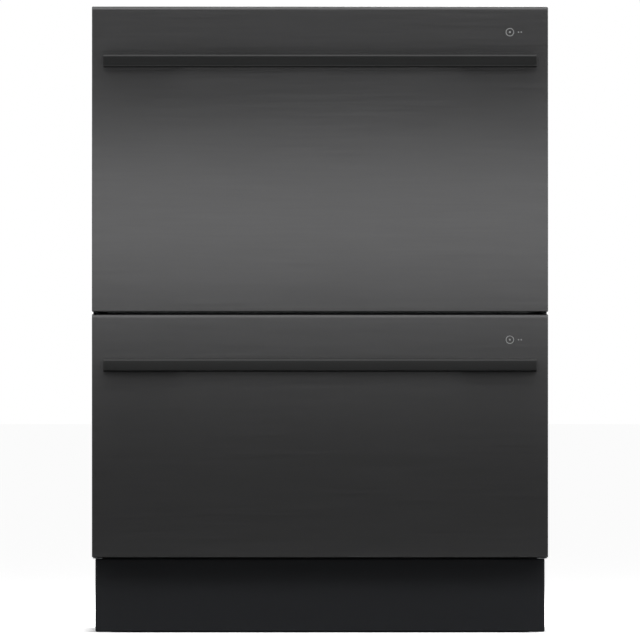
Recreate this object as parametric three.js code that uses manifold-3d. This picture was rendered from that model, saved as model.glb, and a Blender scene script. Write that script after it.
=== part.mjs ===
// A built-in dishwasher with two drawers, one above the other.
//
// Each drawer is a moulded tub behind a folded steel front. It runs out of the cabinet on telescopic
// slides, and a flat lid with a rubber seal comes down on its rim while it washes. Inside the tub are
// a wire basket with folding tines and a cup rack, a cutlery basket, a detergent dispenser, and the
// spray arm, filter plate and drain filter over the wash motor.
//
// Millimetres. +X is to the right, +Y runs from the fronts to the back, +Z is up. The origin is on the
// floor, in the middle of the machine's bounding box.

import * as THREE from 'three';
import { mergeVertices } from 'three/addons/utils/BufferGeometryUtils.js';
import Module from 'manifold-3d';

// ---- The whole machine ----
const UNIT_WIDTH = 597;            // over the fronts, which are the widest pieces
const UNIT_HEIGHT = 820;
const UNIT_DEPTH = 573;            // from the face of the fronts to the back, without the handles
const CABINET_INSET = 1.5;         // each side of the cabinet lies this far inside the edge of a front
const CABINET_TOP_DROP = 2;        // the cabinet's top lies this far under the top edge of the front
const BASE_HEIGHT = 97;            // floor to the top of the base and of the toe kick
const SHEET = 1;                   // folded steel of the cabinet and of the fronts
const SEAT = 0.3;                  // clearance between pieces that are fastened or seated together
const RUNNING = 4;                 // air over and under what slides out of the cabinet

// ---- Fronts ----
const LOWER_FRONT_HEIGHT = 318.5;
const FRONT_GAP = 3;               // between the two fronts
const FRONT_LIFT = 2;              // from the base up to the lower front
const FRONT_CORNER = 2.3;
const FRONT_EDGE = 3;              // radius of the folded edges
const FRONT_RETURN = 20;           // depth of the folded sides
const TOP_RETURN = 6;              // the fold along the top is shorter and leaves the controls free
const DOOR_DEPTH = 22;             // front and carrier together
const DOOR_GAP = 3;                // from the carrier to the cabinet
const CORE_COUNT = 8;              // hollows in the back of the carrier, below the tub
const CORE_RIB = 3;
const CORE_DEPTH = 15;
const CORE_MARGIN = 18;

// ---- Handles ----
const HANDLE_LENGTH = 566;
const HANDLE_HEIGHT = 17;
const HANDLE_THICKNESS = 12;
const HANDLE_REACH = 42;           // from the front's face to the face of the bar
const HANDLE_ROUND = 2.6;
const HANDLE_BLOCK_LENGTH = 100;
const HANDLE_BLOCK_HEIGHT = 14;
const HANDLE_BLOCK_ROUND = 9;
const UPPER_HANDLE_DROP = 71.7;    // from the front's top edge to the middle of the bar
const LOWER_HANDLE_DROP = 67;

// ---- Controls on the top edge of each drawer ----
const BUTTON_LENGTH = 18;
const BUTTON_WIDTH = 8;
const BUTTON_HEIGHT = 4.5;
const BUTTON_CORNER = 2.7;
const BUTTON_EDGE = 0.6;
const BUTTON_TRAVEL = 0.8;
const BUTTON_PITCH = 32;
const BUTTON_FROM_END = 42;
const BUTTON_TOP_DROP = 0.2;       // from the front's top edge to the top of a button

// ---- Cabinet ----
const TOP_FLANGE = 12;
const SIDE_FLANGE = 12;
const BACK_RECESS = 15;
const BRACE_HEIGHT = 24;
const BRACE_DEPTH = 30;
const BRACE_SHEET = 1.5;
const BRACE_GAP = 5;               // over the lower lid
const BACK_RIB_HEIGHT = 40;
const BACK_RIB_DEPTH = 5;
const BACK_RIB_INSET = 60;
const BACK_RIB_COUNT = 3;

// ---- Base, toe kick and feet ----
const TOE_KICK_INSET = 4;          // from the edge of a front to the end of the toe kick
const TOE_KICK_RECESS = 55;
const TOE_KICK_DEPTH = 12;
const TOE_KICK_LIFT = 1;
const TOE_KICK_SHEET = 1.2;
const TOE_KICK_CORNER = 1.5;
const TOE_KICK_EDGE = 2;
const TRAY_BOTTOM = 24;
const TRAY_SHEET = 1.5;
const TRAY_CORNER = 6;
const TRAY_EDGE = 3;
const FOOT_RADIUS = 22;
const FOOT_PAD_HEIGHT = 8;
const FOOT_RIM_HEIGHT = 5;
const FOOT_EDGE = 1;
const FOOT_STEM_RADIUS = 5;
const FOOT_NUT_RADIUS = 9;
const FOOT_STEM_TOP_GAP = 5;       // the stem ends this far under the top of the base
const FOOT_INSET_SIDE = 40;
const FOOT_INSET_END = 42;
const FOOT_BOSS_RADIUS = 12;
const FOOT_BOSS_HEIGHT = 12;

// ---- Hose and cable gland at the back ----
const GLAND_WIDTH = 104;
const GLAND_HEIGHT = 56;
const GLAND_LIP = 6;
const GLAND_LIP_THICKNESS = 3;
const GLAND_DEPTH = 9;
const GLAND_HOSE_RADIUS = 12;
const GLAND_CABLE_RADIUS = 5;
const GLAND_PITCH = 33;
const GLAND_INSET = 90;            // from the side of the cabinet to the middle of the gland
const GLAND_LIFT = 50;

// ---- Telescopic slides ----
const SLIDE_THICKNESS = 12.7;
const SLIDE_HEIGHT = 45.7;
const SLIDE_METAL = 1.2;
const SLIDE_LIFT = 70;             // from the tub's underside to the middle of the slide
const SLIDE_SETBACK = 2;
const SLIDE_SHORTER = 17;          // than the tub
const SLIDE_STOP_LENGTH = 12;
const SLIDE_STOP_HEIGHT = 14;

// ---- Tub ----
const TUB_TO_BACK = 35.7;          // room for the hoses, from the tub to the back panel
const TUB_CORNER = 40;
const TUB_WALL = 2.5;
const TUB_FLOOR_ROUND = 16;
const RIM_WIDTH = 5;
const RIM_THICKNESS = 4;
const RIM_DROP = 14.5;             // from the lower front's top edge down to its tub's rim
const MOTOR_HEIGHT = 40;

// ---- Lid and seal ----
const LID_TRAVEL = 12;
const LID_SETBACK = 1;             // from the edge of the tub's rim
const LID_THICKNESS = 14;
const LID_EDGE = 2.5;
const LID_LUG_WIDTH = 24;
const LID_LUG_GAP = 0.8;           // from the end of a lug to the side panel
const LID_LUG_SPACING = 300;
const LID_GUIDE = 3;
const LID_GUIDE_DEPTH = 7;
const SEAL_HEIGHT = 3;
const SEAL_WIDTH = 9;
const SEAL_LIP = 3;

// ---- Wash parts ----
const MOTOR_RADIUS = 95;
const MOTOR_STEP = 74;             // radius of the lower half of the motor
const MOTOR_EDGE = 5;
const HUB_RADIUS = 24;
const HUB_HEIGHT = 18;             // over the tub's floor
const HUB_EDGE = 2;
const SPINDLE_RADIUS = 6;
const SPINDLE_HEIGHT = 15;
const PUMP_RADIUS = 17;
const PUMP_LENGTH = 110;
const PUMP_OFFSET = 118;
const DUCT_RADIUS = 11;
const ARM_TO_TUB = 35.5;           // from the swept circle to the outside of the tub
const ARM_TIP_RADIUS = 13;
const ARM_HUB_RADIUS = 27;
const ARM_HUB_HEIGHT = 20;
const ARM_CAP_RADIUS = 19;
const ARM_CAP_HEIGHT = 3;
const ARM_BLADE = 9;
const ARM_BLADE_LIFT = 6;          // from the bottom of the hub to the blade
const ARM_BEVEL = 2.5;
const JET_RADIUS = 2;
const JET_COUNT = 3;
const FILTER_PLATE_THICKNESS = 2.5;
const FILTER_PLATE_INSET = 20;
const FILTER_SLOTS = 16;
const FILTER_SLOT_WIDTH = 5;
const FILTER_SLOT_START = 32;      // from the hub to the inner end of a slot
const FILTER_SLOT_MARGIN = 31.5;   // from the outer end of a slot to the plate's edge
const DRAIN_TO_SIDE = 132.7;       // from the middle of the drain to the outside of the tub
const DRAIN_TO_FRONT = 152.5;
const DRAIN_POCKET_RADIUS = 45;
const DRAIN_POCKET_DEPTH = 32;
const DRAIN_FLANGE = 5;
const DRAIN_FLANGE_THICKNESS = 3;
const DRAIN_EDGE = 2;
const DRAIN_GRIP_HEIGHT = 11;
const DRAIN_GRIP_WIDTH = 8;
const DRAIN_GRIP_LENGTH = 70;
const DRAIN_PLAY = 2;              // from the filter's cup to the wall of its pocket

// ---- Wire basket ----
const BASKET_TO_SIDE = 22.7;       // from the rim to the outside of the tub
const BASKET_TO_END = 27.5;
const BASKET_TO_DISPENSER = 18.5;  // from the rim wire up to the dispenser
const BASKET_CORNER = 30;
const BASKET_LIFT = 50;            // from the tub's floor to the lowest wires
const WIRE = 4;
const RIM_WIRE = 6;
const WIRE_SIDES = 4;
const WIRE_BEND = 14;
const WIRE_WELD = 1;               // how far crossing wires are pressed into each other
const CROSS_WIRES = 8;             // these run along X
const LONG_WIRES = 7;              // these run along Y
const LEG_RADIUS = 4;
const TINE = 3.5;
const TINE_HEIGHT = 70;
const TINE_PITCH = 28;
const TINE_COUNT = 11;
const FOLDING_ROW = 2;             // the cross wire that carries the folding tines
const FIXED_ROW = 5;               // the cross wire that carries the fixed tines
const SADDLE = 10;
const SADDLE_WIDTH = 6;
const SADDLE_PLACE = 1.5;          // counted in tines from each end of the row
const PIVOT_PLAY = 0.5;
const RACK_LENGTH = 250;
const RACK_WIDTH = 80;
const RACK_CROSS_WIRES = 5;

// ---- Cutlery basket ----
const CUTLERY_WIDTH = 75;
const CUTLERY_DEPTH = 220;
const CUTLERY_HEIGHT = 108;
const CUTLERY_WALL = 2;
const CUTLERY_CORNER = 8;
const CUTLERY_FROM_SIDE = 18;
const CUTLERY_CELLS = 4;
const CUTLERY_SLOT = 16;
const CUTLERY_SLOT_HEIGHT = 62;
const CUTLERY_SLOTS = 5;
const CUTLERY_SLOT_SPAN = 213;
const CUTLERY_CROSS_HEIGHT = 86;
const CUTLERY_GRIP_HEIGHT = 24;
const CUTLERY_GRIP_WIDTH = 90;
const CUTLERY_GRIP_BAR = 9;

// ---- Detergent dispenser ----
const DISPENSER_WIDTH = 180;
const DISPENSER_HEIGHT = 78;
const DISPENSER_DEPTH = 18;
const DISPENSER_CORNER = 10;
const DISPENSER_ROUND = 2.5;
const DISPENSER_DROP = 8;          // under the tub's rim
const CUP_WIDTH = 62;
const CUP_HEIGHT = 44;
const CUP_DEPTH = 13;
const CUP_CORNER = 8;
const CUP_X = -36;
const CUP_RAISE = 4;               // from the middle of the dispenser up to the middle of the cup
const DOOR_OVERLAP = 4;
const DOOR_PLATE = 3;
const DOOR_BARREL = 3;
const DOOR_PIN = 1.5;
const DOOR_PIN_PLAY = 0.4;
const DOOR_EAR = 5;
const CAP_RADIUS = 17;
const CAP_HEIGHT = 5;
const CAP_X = 48;

// ---- Levels and lines worked out from the sizes above ----
const FACE_Y = (HANDLE_REACH - UNIT_DEPTH) / 2;
const BACK_Y = FACE_Y + UNIT_DEPTH;
const CARRIER_BACK_Y = FACE_Y + DOOR_DEPTH;
const CABINET_FRONT_Y = CARRIER_BACK_Y + DOOR_GAP;
const BACK_PANEL_Y = BACK_Y - BACK_RECESS;
const TOE_KICK_Y = FACE_Y + TOE_KICK_RECESS;
const TRAY_FRONT_Y = TOE_KICK_Y + TOE_KICK_DEPTH + SEAT;
const CABINET_WIDTH = UNIT_WIDTH - 2 * CABINET_INSET;
const TOE_KICK_WIDTH = UNIT_WIDTH - 2 * TOE_KICK_INSET;
const WEB_X = CABINET_WIDTH / 2 - SHEET;
const CABINET_TOP = UNIT_HEIGHT - CABINET_TOP_DROP;
const SIDE_BOTTOM = BASE_HEIGHT + SEAT;

const LOWER_FRONT_BOTTOM = BASE_HEIGHT + FRONT_LIFT;
const LOWER_FRONT_TOP = LOWER_FRONT_BOTTOM + LOWER_FRONT_HEIGHT;
const UPPER_FRONT_BOTTOM = LOWER_FRONT_TOP + FRONT_GAP;

const TUB_HALF_WIDTH = WEB_X - SEAT - SLIDE_THICKNESS - SEAT;
const TUB_FRONT_Y = CARRIER_BACK_Y + SEAT + RIM_WIDTH;
const TUB_DEPTH = BACK_PANEL_Y - TUB_TO_BACK - TUB_FRONT_Y;
const TUB_MIDDLE_Y = TUB_FRONT_Y + TUB_DEPTH / 2;
const SLIDE_LENGTH = TUB_DEPTH - SLIDE_SHORTER;
const DRAIN_X = TUB_HALF_WIDTH - DRAIN_TO_SIDE;
const DRAIN_Y = DRAIN_TO_FRONT - TUB_DEPTH / 2;   // from the middle of the tub
const ARM_REACH = Math.min(TUB_HALF_WIDTH, TUB_DEPTH / 2) - ARM_TO_TUB;
const BASKET_WIDTH = 2 * (TUB_HALF_WIDTH - BASKET_TO_SIDE);
const BASKET_DEPTH = TUB_DEPTH - 2 * BASKET_TO_END;
const TUB_FLOOR = MOTOR_HEIGHT + TUB_WALL;
const LID_BOTTOM_OVER_RIM = SEAT + LID_TRAVEL + SEAL_HEIGHT;
const LID_TOP_OVER_RIM = LID_BOTTOM_OVER_RIM + LID_THICKNESS;

const LOWER_RIM = LOWER_FRONT_TOP - RIM_DROP;
const LOWER_DRAWER_BOTTOM = BASE_HEIGHT + RUNNING;
const BRACE_BOTTOM = LOWER_RIM + LID_TOP_OVER_RIM + BRACE_GAP;
const UPPER_DRAWER_BOTTOM = BRACE_BOTTOM + BRACE_HEIGHT + 2 * RUNNING;
const UPPER_RIM = CABINET_TOP - TOP_FLANGE - RUNNING - LID_TOP_OVER_RIM;

// One basket fits both tubs, so its rim lies under the dispenser of the shallower one.
const SHALLOWER_RIM = Math.min(LOWER_RIM - LOWER_DRAWER_BOTTOM, UPPER_RIM - UPPER_DRAWER_BOTTOM);
const DISPENSER_BOTTOM = SHALLOWER_RIM - DISPENSER_DROP - DISPENSER_HEIGHT;
const BASKET_HEIGHT = DISPENSER_BOTTOM - BASKET_TO_DISPENSER - TUB_FLOOR - BASKET_LIFT;

// ---- Materials, as the photograph shows them or as such parts are made ----
function finish(color, roughness, metalness) {
  return new THREE.MeshStandardMaterial({ color, roughness, metalness, flatShading: true });
}

const MATERIALS = {
  darkSteel: finish(0x5b5b5c, 0.38, 0.9),
  darkHandle: finish(0x2e2e2f, 0.42, 0.85),
  galvanised: finish(0x9a9c9e, 0.45, 0.8),
  slideSteel: finish(0xb4b6b8, 0.3, 0.9),
  blackSheet: finish(0x202225, 0.55, 0.2),
  carrierPlastic: finish(0x2a2b2d, 0.5, 0),
  tubPlastic: finish(0xcfd2d3, 0.45, 0),
  lidPlastic: finish(0xc4c8ca, 0.5, 0),
  washPlastic: finish(0x8d9396, 0.5, 0),
  motorPlastic: finish(0x3a3d40, 0.6, 0),
  coatedWire: finish(0xaeb3b6, 0.4, 0.1),
  rubber: finish(0x3c3e40, 0.8, 0),
  button: finish(0x6d7073, 0.35, 0.2),
};

// ---- Solid modelling ----
const wasm = await Module();
wasm.setup();

function toSolid(geometry) {
  const bare = geometry.clone();
  bare.deleteAttribute('normal');
  bare.deleteAttribute('uv');
  const merged = mergeVertices(bare, 1e-4);
  const corners = merged.index.array;
  const kept = [];
  for (let i = 0; i < corners.length; i += 3) {
    const [a, b, c] = corners.slice(i, i + 3);
    if (a !== b && b !== c && c !== a) kept.push(a, b, c);
  }
  return new wasm.Manifold(new wasm.Mesh({
    numProp: 3,
    vertProperties: merged.attributes.position.array,
    triVerts: new Uint32Array(kept),
  }));
}

function toGeometry(solid) {
  const result = solid.getMesh();
  const geometry = new THREE.BufferGeometry();
  geometry.setAttribute('position', new THREE.BufferAttribute(result.vertProperties, 3));
  geometry.setIndex(new THREE.BufferAttribute(result.triVerts, 1));
  return geometry;
}

function join(pieces) {
  return toGeometry(pieces.map(toSolid).reduce((whole, piece) => whole.add(piece)));
}

function cut(geometry, tools) {
  return toGeometry(tools.map(toSolid).reduce((whole, tool) => whole.subtract(tool), toSolid(geometry)));
}

// A rectangular block between two values along each axis.
function block([x0, x1], [y0, y1], [z0, z1]) {
  const geometry = new THREE.BoxGeometry(x1 - x0, y1 - y0, z1 - z0);
  return geometry.translate((x0 + x1) / 2, (y0 + y1) / 2, (z0 + z1) / 2);
}

// An upright round piece.
function drum(radius, [z0, z1], x = 0, y = 0, sides = 24) {
  const geometry = new THREE.CylinderGeometry(radius, radius, z1 - z0, sides);
  return geometry.rotateX(Math.PI / 2).translate(x, y, (z0 + z1) / 2);
}

// A straight round bar between two points.
function rod(from, to, radius, sides = WIRE_SIDES) {
  const axis = to.clone().sub(from);
  const up = new THREE.Vector3(0, 1, 0);
  const turn = new THREE.Quaternion().setFromUnitVectors(up, axis.clone().normalize());
  const geometry = new THREE.CylinderGeometry(radius, radius, axis.length(), sides).applyQuaternion(turn);
  const middle = from.clone().add(to).multiplyScalar(0.5);
  return geometry.translate(middle.x, middle.y, middle.z);
}

// Extrudes an outline of [x, z] points along Y.
function alongY(points, [y0, y1]) {
  const shape = new THREE.Shape(points.map(([x, z]) => new THREE.Vector2(x, z)));
  const geometry = new THREE.ExtrudeGeometry(shape, { depth: y1 - y0, bevelEnabled: false });
  return geometry.rotateX(Math.PI / 2).translate(0, y1, 0);
}

// Extrudes an outline of [y, z] points along X.
function alongX(points, [x0, x1]) {
  const shape = new THREE.Shape(points.map(([y, z]) => new THREE.Vector2(y, z)));
  const geometry = new THREE.ExtrudeGeometry(shape, { depth: x1 - x0, bevelEnabled: false });
  return geometry.rotateX(Math.PI / 2).rotateZ(Math.PI / 2).translate(x0, 0, 0);
}

// The corners of a rectangle with round corners, anticlockwise, drawn in by an inset.
function roundedRectangle({ width, depth, corner, segments }, inset) {
  const halfWidth = width / 2 - inset;
  const halfDepth = depth / 2 - inset;
  const radius = Math.min(Math.max(corner - inset, corner / 4), halfWidth, halfDepth);
  const points = [];
  for (let quarter = 0; quarter < 4; quarter += 1) {
    const signX = quarter === 0 || quarter === 3 ? 1 : -1;
    const signY = quarter < 2 ? 1 : -1;
    for (let step = 0; step <= segments; step += 1) {
      const angle = (quarter + step / segments) * Math.PI / 2;
      const x = signX * (halfWidth - radius) + radius * Math.cos(angle);
      const y = signY * (halfDepth - radius) + radius * Math.sin(angle);
      points.push([x, y]);
    }
  }
  return points;
}

// Joins rings of points, each a list of Vector3, into a closed skin with a flat cap on both ends.
// A closed loop of rings has no caps: its last ring joins its first.
function skin(rings, loop = false) {
  const count = rings[0].length;
  const positions = rings.flat().flatMap((point) => [point.x, point.y, point.z]);
  const index = [];
  const bands = loop ? rings.length : rings.length - 1;
  for (let band = 0; band < bands; band += 1) {
    const low = band * count;
    const high = ((band + 1) % rings.length) * count;
    for (let j = 0; j < count; j += 1) {
      const next = (j + 1) % count;
      index.push(low + j, low + next, high + next);
      index.push(low + j, high + next, high + j);
    }
  }
  if (!loop) {
    const last = (rings.length - 1) * count;
    for (let j = 1; j < count - 1; j += 1) {
      index.push(0, j + 1, j);
      index.push(last, last + j, last + j + 1);
    }
  }
  const geometry = new THREE.BufferGeometry();
  geometry.setAttribute('position', new THREE.Float32BufferAttribute(positions, 3));
  geometry.setIndex(index);
  return geometry;
}

// A moulded or folded form on a rounded rectangle. Each station is an inset and a height. Stations that
// go up the outside and come back down the inside leave a hollow.
function moulding(outline, stations) {
  const rings = stations.map(([inset, height]) => roundedRectangle(outline, inset)
    .map(([x, y]) => new THREE.Vector3(x, y, height)));
  return skin(rings);
}

// Stations of a rounded edge that starts flat on a level and ends upright at an inset.
function roundedEdge(inset, level, radius, steps = 3) {
  const stations = [];
  for (let step = 0; step <= steps; step += 1) {
    const angle = (step / steps) * Math.PI / 2;
    stations.push([inset + radius * (1 - Math.sin(angle)), level + radius * (1 - Math.cos(angle))]);
  }
  return stations;
}

// Stations of an open pan: its floor is at the bottom, and its outer edge there is rounded.
function panStations(height, wall, edge, steps = 3) {
  const inner = Math.max(edge - wall, wall / 2);
  return [
    ...roundedEdge(0, 0, edge, steps),
    [0, height],
    [wall, height],
    ...roundedEdge(wall, wall, inner, steps).reverse(),
  ];
}

// A bent wire through points. The first normal lies across the wire; a closed wire has all its points
// in the plane that this normal stands on.
function wire(points, diameter, normal, closed = false) {
  const count = points.length;
  const rings = [];
  let across = normal.clone();
  points.forEach((point, i) => {
    const before = points[closed ? (i + count - 1) % count : Math.max(i - 1, 0)];
    const after = points[closed ? (i + 1) % count : Math.min(i + 1, count - 1)];
    const tangent = after.clone().sub(before).normalize();
    across = across.clone().addScaledVector(tangent, -across.dot(tangent)).normalize();
    const side = tangent.clone().cross(across);
    const ring = [];
    for (let j = 0; j < WIRE_SIDES; j += 1) {
      const angle = (j / WIRE_SIDES) * 2 * Math.PI;
      ring.push(point.clone()
        .addScaledVector(across, (Math.cos(angle) * diameter) / 2)
        .addScaledVector(side, (Math.sin(angle) * diameter) / 2));
    }
    rings.push(ring);
  });
  return skin(rings, closed);
}

function named(name, geometry, material, [x, y, z] = [0, 0, 0]) {
  const mesh = new THREE.Mesh(geometry, material);
  mesh.name = name;
  mesh.position.set(x, y, z);
  return mesh;
}

// ---- Cabinet ----
// Two upright cheeks on the side panel for each lug of a lid. They guide the lid up and down.
function lidGuides(side, rim) {
  const inner = WEB_X - LID_GUIDE_DEPTH;
  const guides = [];
  for (const y of [-LID_LUG_SPACING / 2, LID_LUG_SPACING / 2]) {
    for (const way of [-1, 1]) {
      const near = TUB_MIDDLE_Y + y + way * (LID_LUG_WIDTH / 2 + SEAT);
      const far = near + way * LID_GUIDE;
      guides.push(block(
        [side * inner, side * (WEB_X + SHEET / 2)].sort((a, b) => a - b),
        [near, far].sort((a, b) => a - b),
        [rim + SEAT + SEAL_HEIGHT, rim + LID_TOP_OVER_RIM],
      ));
    }
  }
  return guides;
}

function sidePanel(side) {
  const outer = CABINET_WIDTH / 2;
  const span = (inner) => [side * inner, side * outer].sort((a, b) => a - b);
  const web = block(span(WEB_X), [CABINET_FRONT_Y, BACK_Y], [SIDE_BOTTOM, CABINET_TOP]);
  const bottomFlange = block(
    span(outer - SIDE_FLANGE),
    [CABINET_FRONT_Y, BACK_PANEL_Y],
    [SIDE_BOTTOM, SIDE_BOTTOM + SHEET],
  );
  const backFlange = block(
    span(outer - SIDE_FLANGE),
    [BACK_PANEL_Y, BACK_PANEL_Y + SHEET],
    [SIDE_BOTTOM, CABINET_TOP - TOP_FLANGE - SEAT],
  );
  return join([web, bottomFlange, backFlange, ...lidGuides(side, LOWER_RIM), ...lidGuides(side, UPPER_RIM)]);
}

function topPanel() {
  const outline = {
    width: 2 * (WEB_X - SEAT),
    depth: BACK_Y - CABINET_FRONT_Y,
    corner: SHEET,
    segments: 1,
  };
  const pan = moulding(outline, [[0, 0], [0, TOP_FLANGE], [SHEET, TOP_FLANGE], [SHEET, SHEET]]);
  return pan.rotateX(Math.PI).translate(0, (BACK_Y + CABINET_FRONT_Y) / 2, CABINET_TOP);
}

// A sheet with pressed ribs across it and a window for the gland.
function backPanel() {
  const halfWidth = WEB_X - SEAT;
  const outerFace = BACK_PANEL_Y - SEAT;
  const innerFace = outerFace - SHEET;
  const bottom = SIDE_BOTTOM + SHEET + SEAT;
  const top = CABINET_TOP - TOP_FLANGE - SEAT;
  const sheet = block([-halfWidth, halfWidth], [innerFace, outerFace], [bottom, top]);
  const ribHalf = halfWidth - BACK_RIB_INSET;
  const ribSpace = (top - bottom) / (BACK_RIB_COUNT + 1);
  const ribs = [];
  const hollows = [];
  for (let i = 1; i <= BACK_RIB_COUNT; i += 1) {
    const middle = bottom + i * ribSpace;
    const half = BACK_RIB_HEIGHT / 2;
    const levels = [middle - half, middle + half];
    ribs.push(block([-ribHalf, ribHalf], [innerFace - BACK_RIB_DEPTH, outerFace], levels));
    hollows.push(block(
      [-ribHalf + SHEET, ribHalf - SHEET],
      [innerFace - BACK_RIB_DEPTH + SHEET, outerFace + SHEET],
      [middle - half + SHEET, middle + half - SHEET],
    ));
  }
  const glandX = CABINET_WIDTH / 2 - GLAND_INSET;
  const glandZ = bottom + GLAND_LIFT;
  const window = block(
    [glandX - GLAND_WIDTH / 2, glandX + GLAND_WIDTH / 2],
    [innerFace - SHEET, outerFace + SHEET],
    [glandZ - GLAND_HEIGHT / 2, glandZ + GLAND_HEIGHT / 2],
  );
  return cut(join([sheet, ...ribs]), [...hollows, window]);
}

// The gland fills the back panel's window, with a lip behind it and holes for two hoses and a cable.
function supplyGland() {
  const outerFace = BACK_PANEL_Y - SEAT;
  const x = CABINET_WIDTH / 2 - GLAND_INSET;
  const z = SIDE_BOTTOM + SHEET + SEAT + GLAND_LIFT;
  const halfWidth = GLAND_WIDTH / 2 - SEAT;
  const halfHeight = GLAND_HEIGHT / 2 - SEAT;
  const plug = block(
    [x - halfWidth, x + halfWidth],
    [outerFace - SHEET, outerFace + GLAND_DEPTH],
    [z - halfHeight, z + halfHeight],
  );
  const lip = block(
    [x - halfWidth - GLAND_LIP, x + halfWidth + GLAND_LIP],
    [outerFace + SEAT, outerFace + SEAT + GLAND_LIP_THICKNESS],
    [z - halfHeight - GLAND_LIP, z + halfHeight + GLAND_LIP],
  );
  const hole = (offset, radius) => rod(
    new THREE.Vector3(x + offset, outerFace - 2 * SHEET, z),
    new THREE.Vector3(x + offset, outerFace + GLAND_DEPTH + SHEET, z),
    radius,
    16,
  );
  return cut(join([plug, lip]), [
    hole(-GLAND_PITCH, GLAND_HOSE_RADIUS),
    hole(0, GLAND_HOSE_RADIUS),
    hole(GLAND_PITCH, GLAND_CABLE_RADIUS),
  ]);
}

// A folded channel across the cabinet, between the two drawers. Its open side faces the back.
function middleBrace() {
  const halfWidth = WEB_X - SEAT;
  const front = CABINET_FRONT_Y;
  const back = front + BRACE_DEPTH;
  const top = BRACE_BOTTOM + BRACE_HEIGHT;
  const channel = [
    [front, BRACE_BOTTOM],
    [back, BRACE_BOTTOM],
    [back, BRACE_BOTTOM + BRACE_SHEET],
    [front + BRACE_SHEET, BRACE_BOTTOM + BRACE_SHEET],
    [front + BRACE_SHEET, top - BRACE_SHEET],
    [back, top - BRACE_SHEET],
    [back, top],
    [front, top],
  ];
  return alongX(channel, [-halfWidth, halfWidth]);
}

function toeKick() {
  const outline = {
    width: TOE_KICK_WIDTH,
    depth: BASE_HEIGHT - TOE_KICK_LIFT,
    corner: TOE_KICK_CORNER,
    segments: 1,
  };
  const pan = moulding(outline, panStations(TOE_KICK_DEPTH, TOE_KICK_SHEET, TOE_KICK_EDGE, 2));
  return pan.rotateX(-Math.PI / 2).translate(0, TOE_KICK_Y, (BASE_HEIGHT + TOE_KICK_LIFT) / 2);
}

function footPlaces() {
  const x = TOE_KICK_WIDTH / 2 - FOOT_INSET_SIDE;
  const front = TRAY_FRONT_Y + FOOT_INSET_END;
  const back = BACK_Y - FOOT_INSET_END;
  return {
    front_left_foot: [-x, front],
    front_right_foot: [x, front],
    back_left_foot: [-x, back],
    back_right_foot: [x, back],
  };
}

// The base catches leaks. A boss in each corner takes a foot's stem.
function baseTray() {
  const outline = {
    width: TOE_KICK_WIDTH,
    depth: BACK_Y - TRAY_FRONT_Y,
    corner: TRAY_CORNER,
    segments: 2,
  };
  const pan = moulding(outline, panStations(BASE_HEIGHT - TRAY_BOTTOM, TRAY_SHEET, TRAY_EDGE, 2));
  pan.translate(0, (BACK_Y + TRAY_FRONT_Y) / 2, TRAY_BOTTOM);
  const places = Object.values(footPlaces());
  const bosses = places.map(([x, y]) => drum(
    FOOT_BOSS_RADIUS,
    [TRAY_BOTTOM + TRAY_SHEET / 2, TRAY_BOTTOM + FOOT_BOSS_HEIGHT],
    x,
    y,
    12,
  ));
  const holes = places.map(([x, y]) => drum(
    FOOT_STEM_RADIUS + SEAT,
    [TRAY_BOTTOM - SHEET, TRAY_BOTTOM + FOOT_BOSS_HEIGHT + SHEET],
    x,
    y,
    12,
  ));
  return cut(join([pan, ...bosses]), holes);
}

// A levelling foot: a broad pad, a nut to turn it by and a threaded stem.
function levellingFoot() {
  const pad = new THREE.LatheGeometry([
    new THREE.Vector2(0, 0),
    new THREE.Vector2(FOOT_RADIUS - FOOT_EDGE, 0),
    new THREE.Vector2(FOOT_RADIUS, FOOT_EDGE),
    new THREE.Vector2(FOOT_RADIUS, FOOT_RIM_HEIGHT),
    new THREE.Vector2(FOOT_NUT_RADIUS, FOOT_PAD_HEIGHT),
    new THREE.Vector2(0, FOOT_PAD_HEIGHT),
  ], 16).rotateX(Math.PI / 2);
  const nut = drum(FOOT_NUT_RADIUS, [FOOT_RIM_HEIGHT, TRAY_BOTTOM - SEAT], 0, 0, 6);
  const stem = drum(FOOT_STEM_RADIUS, [FOOT_PAD_HEIGHT, BASE_HEIGHT - FOOT_STEM_TOP_GAP], 0, 0, 12);
  return join([pad, nut, stem]);
}

// ---- Fronts ----
// The steel skin: a shallow pan that wraps round the carrier. Its top fold stops short of the controls.
function frontPanel(height) {
  const outline = { width: UNIT_WIDTH, depth: height, corner: FRONT_CORNER, segments: 2 };
  const pan = moulding(outline, panStations(FRONT_RETURN, SHEET, FRONT_EDGE));
  pan.rotateX(-Math.PI / 2).translate(0, FACE_Y, height / 2);
  const inside = UNIT_WIDTH / 2 - SHEET;
  const relief = block(
    [-inside, inside],
    [FACE_Y + TOP_RETURN, FACE_Y + DOOR_DEPTH],
    [height - 2 * SHEET, height + SHEET],
  );
  return cut(pan, [relief]);
}

function buttonX(place) {
  return UNIT_WIDTH / 2 - BUTTON_FROM_END - (1 - place) * BUTTON_PITCH;
}

function buttonY() {
  return FACE_Y + (TOP_RETURN + DOOR_DEPTH) / 2;
}

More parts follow.
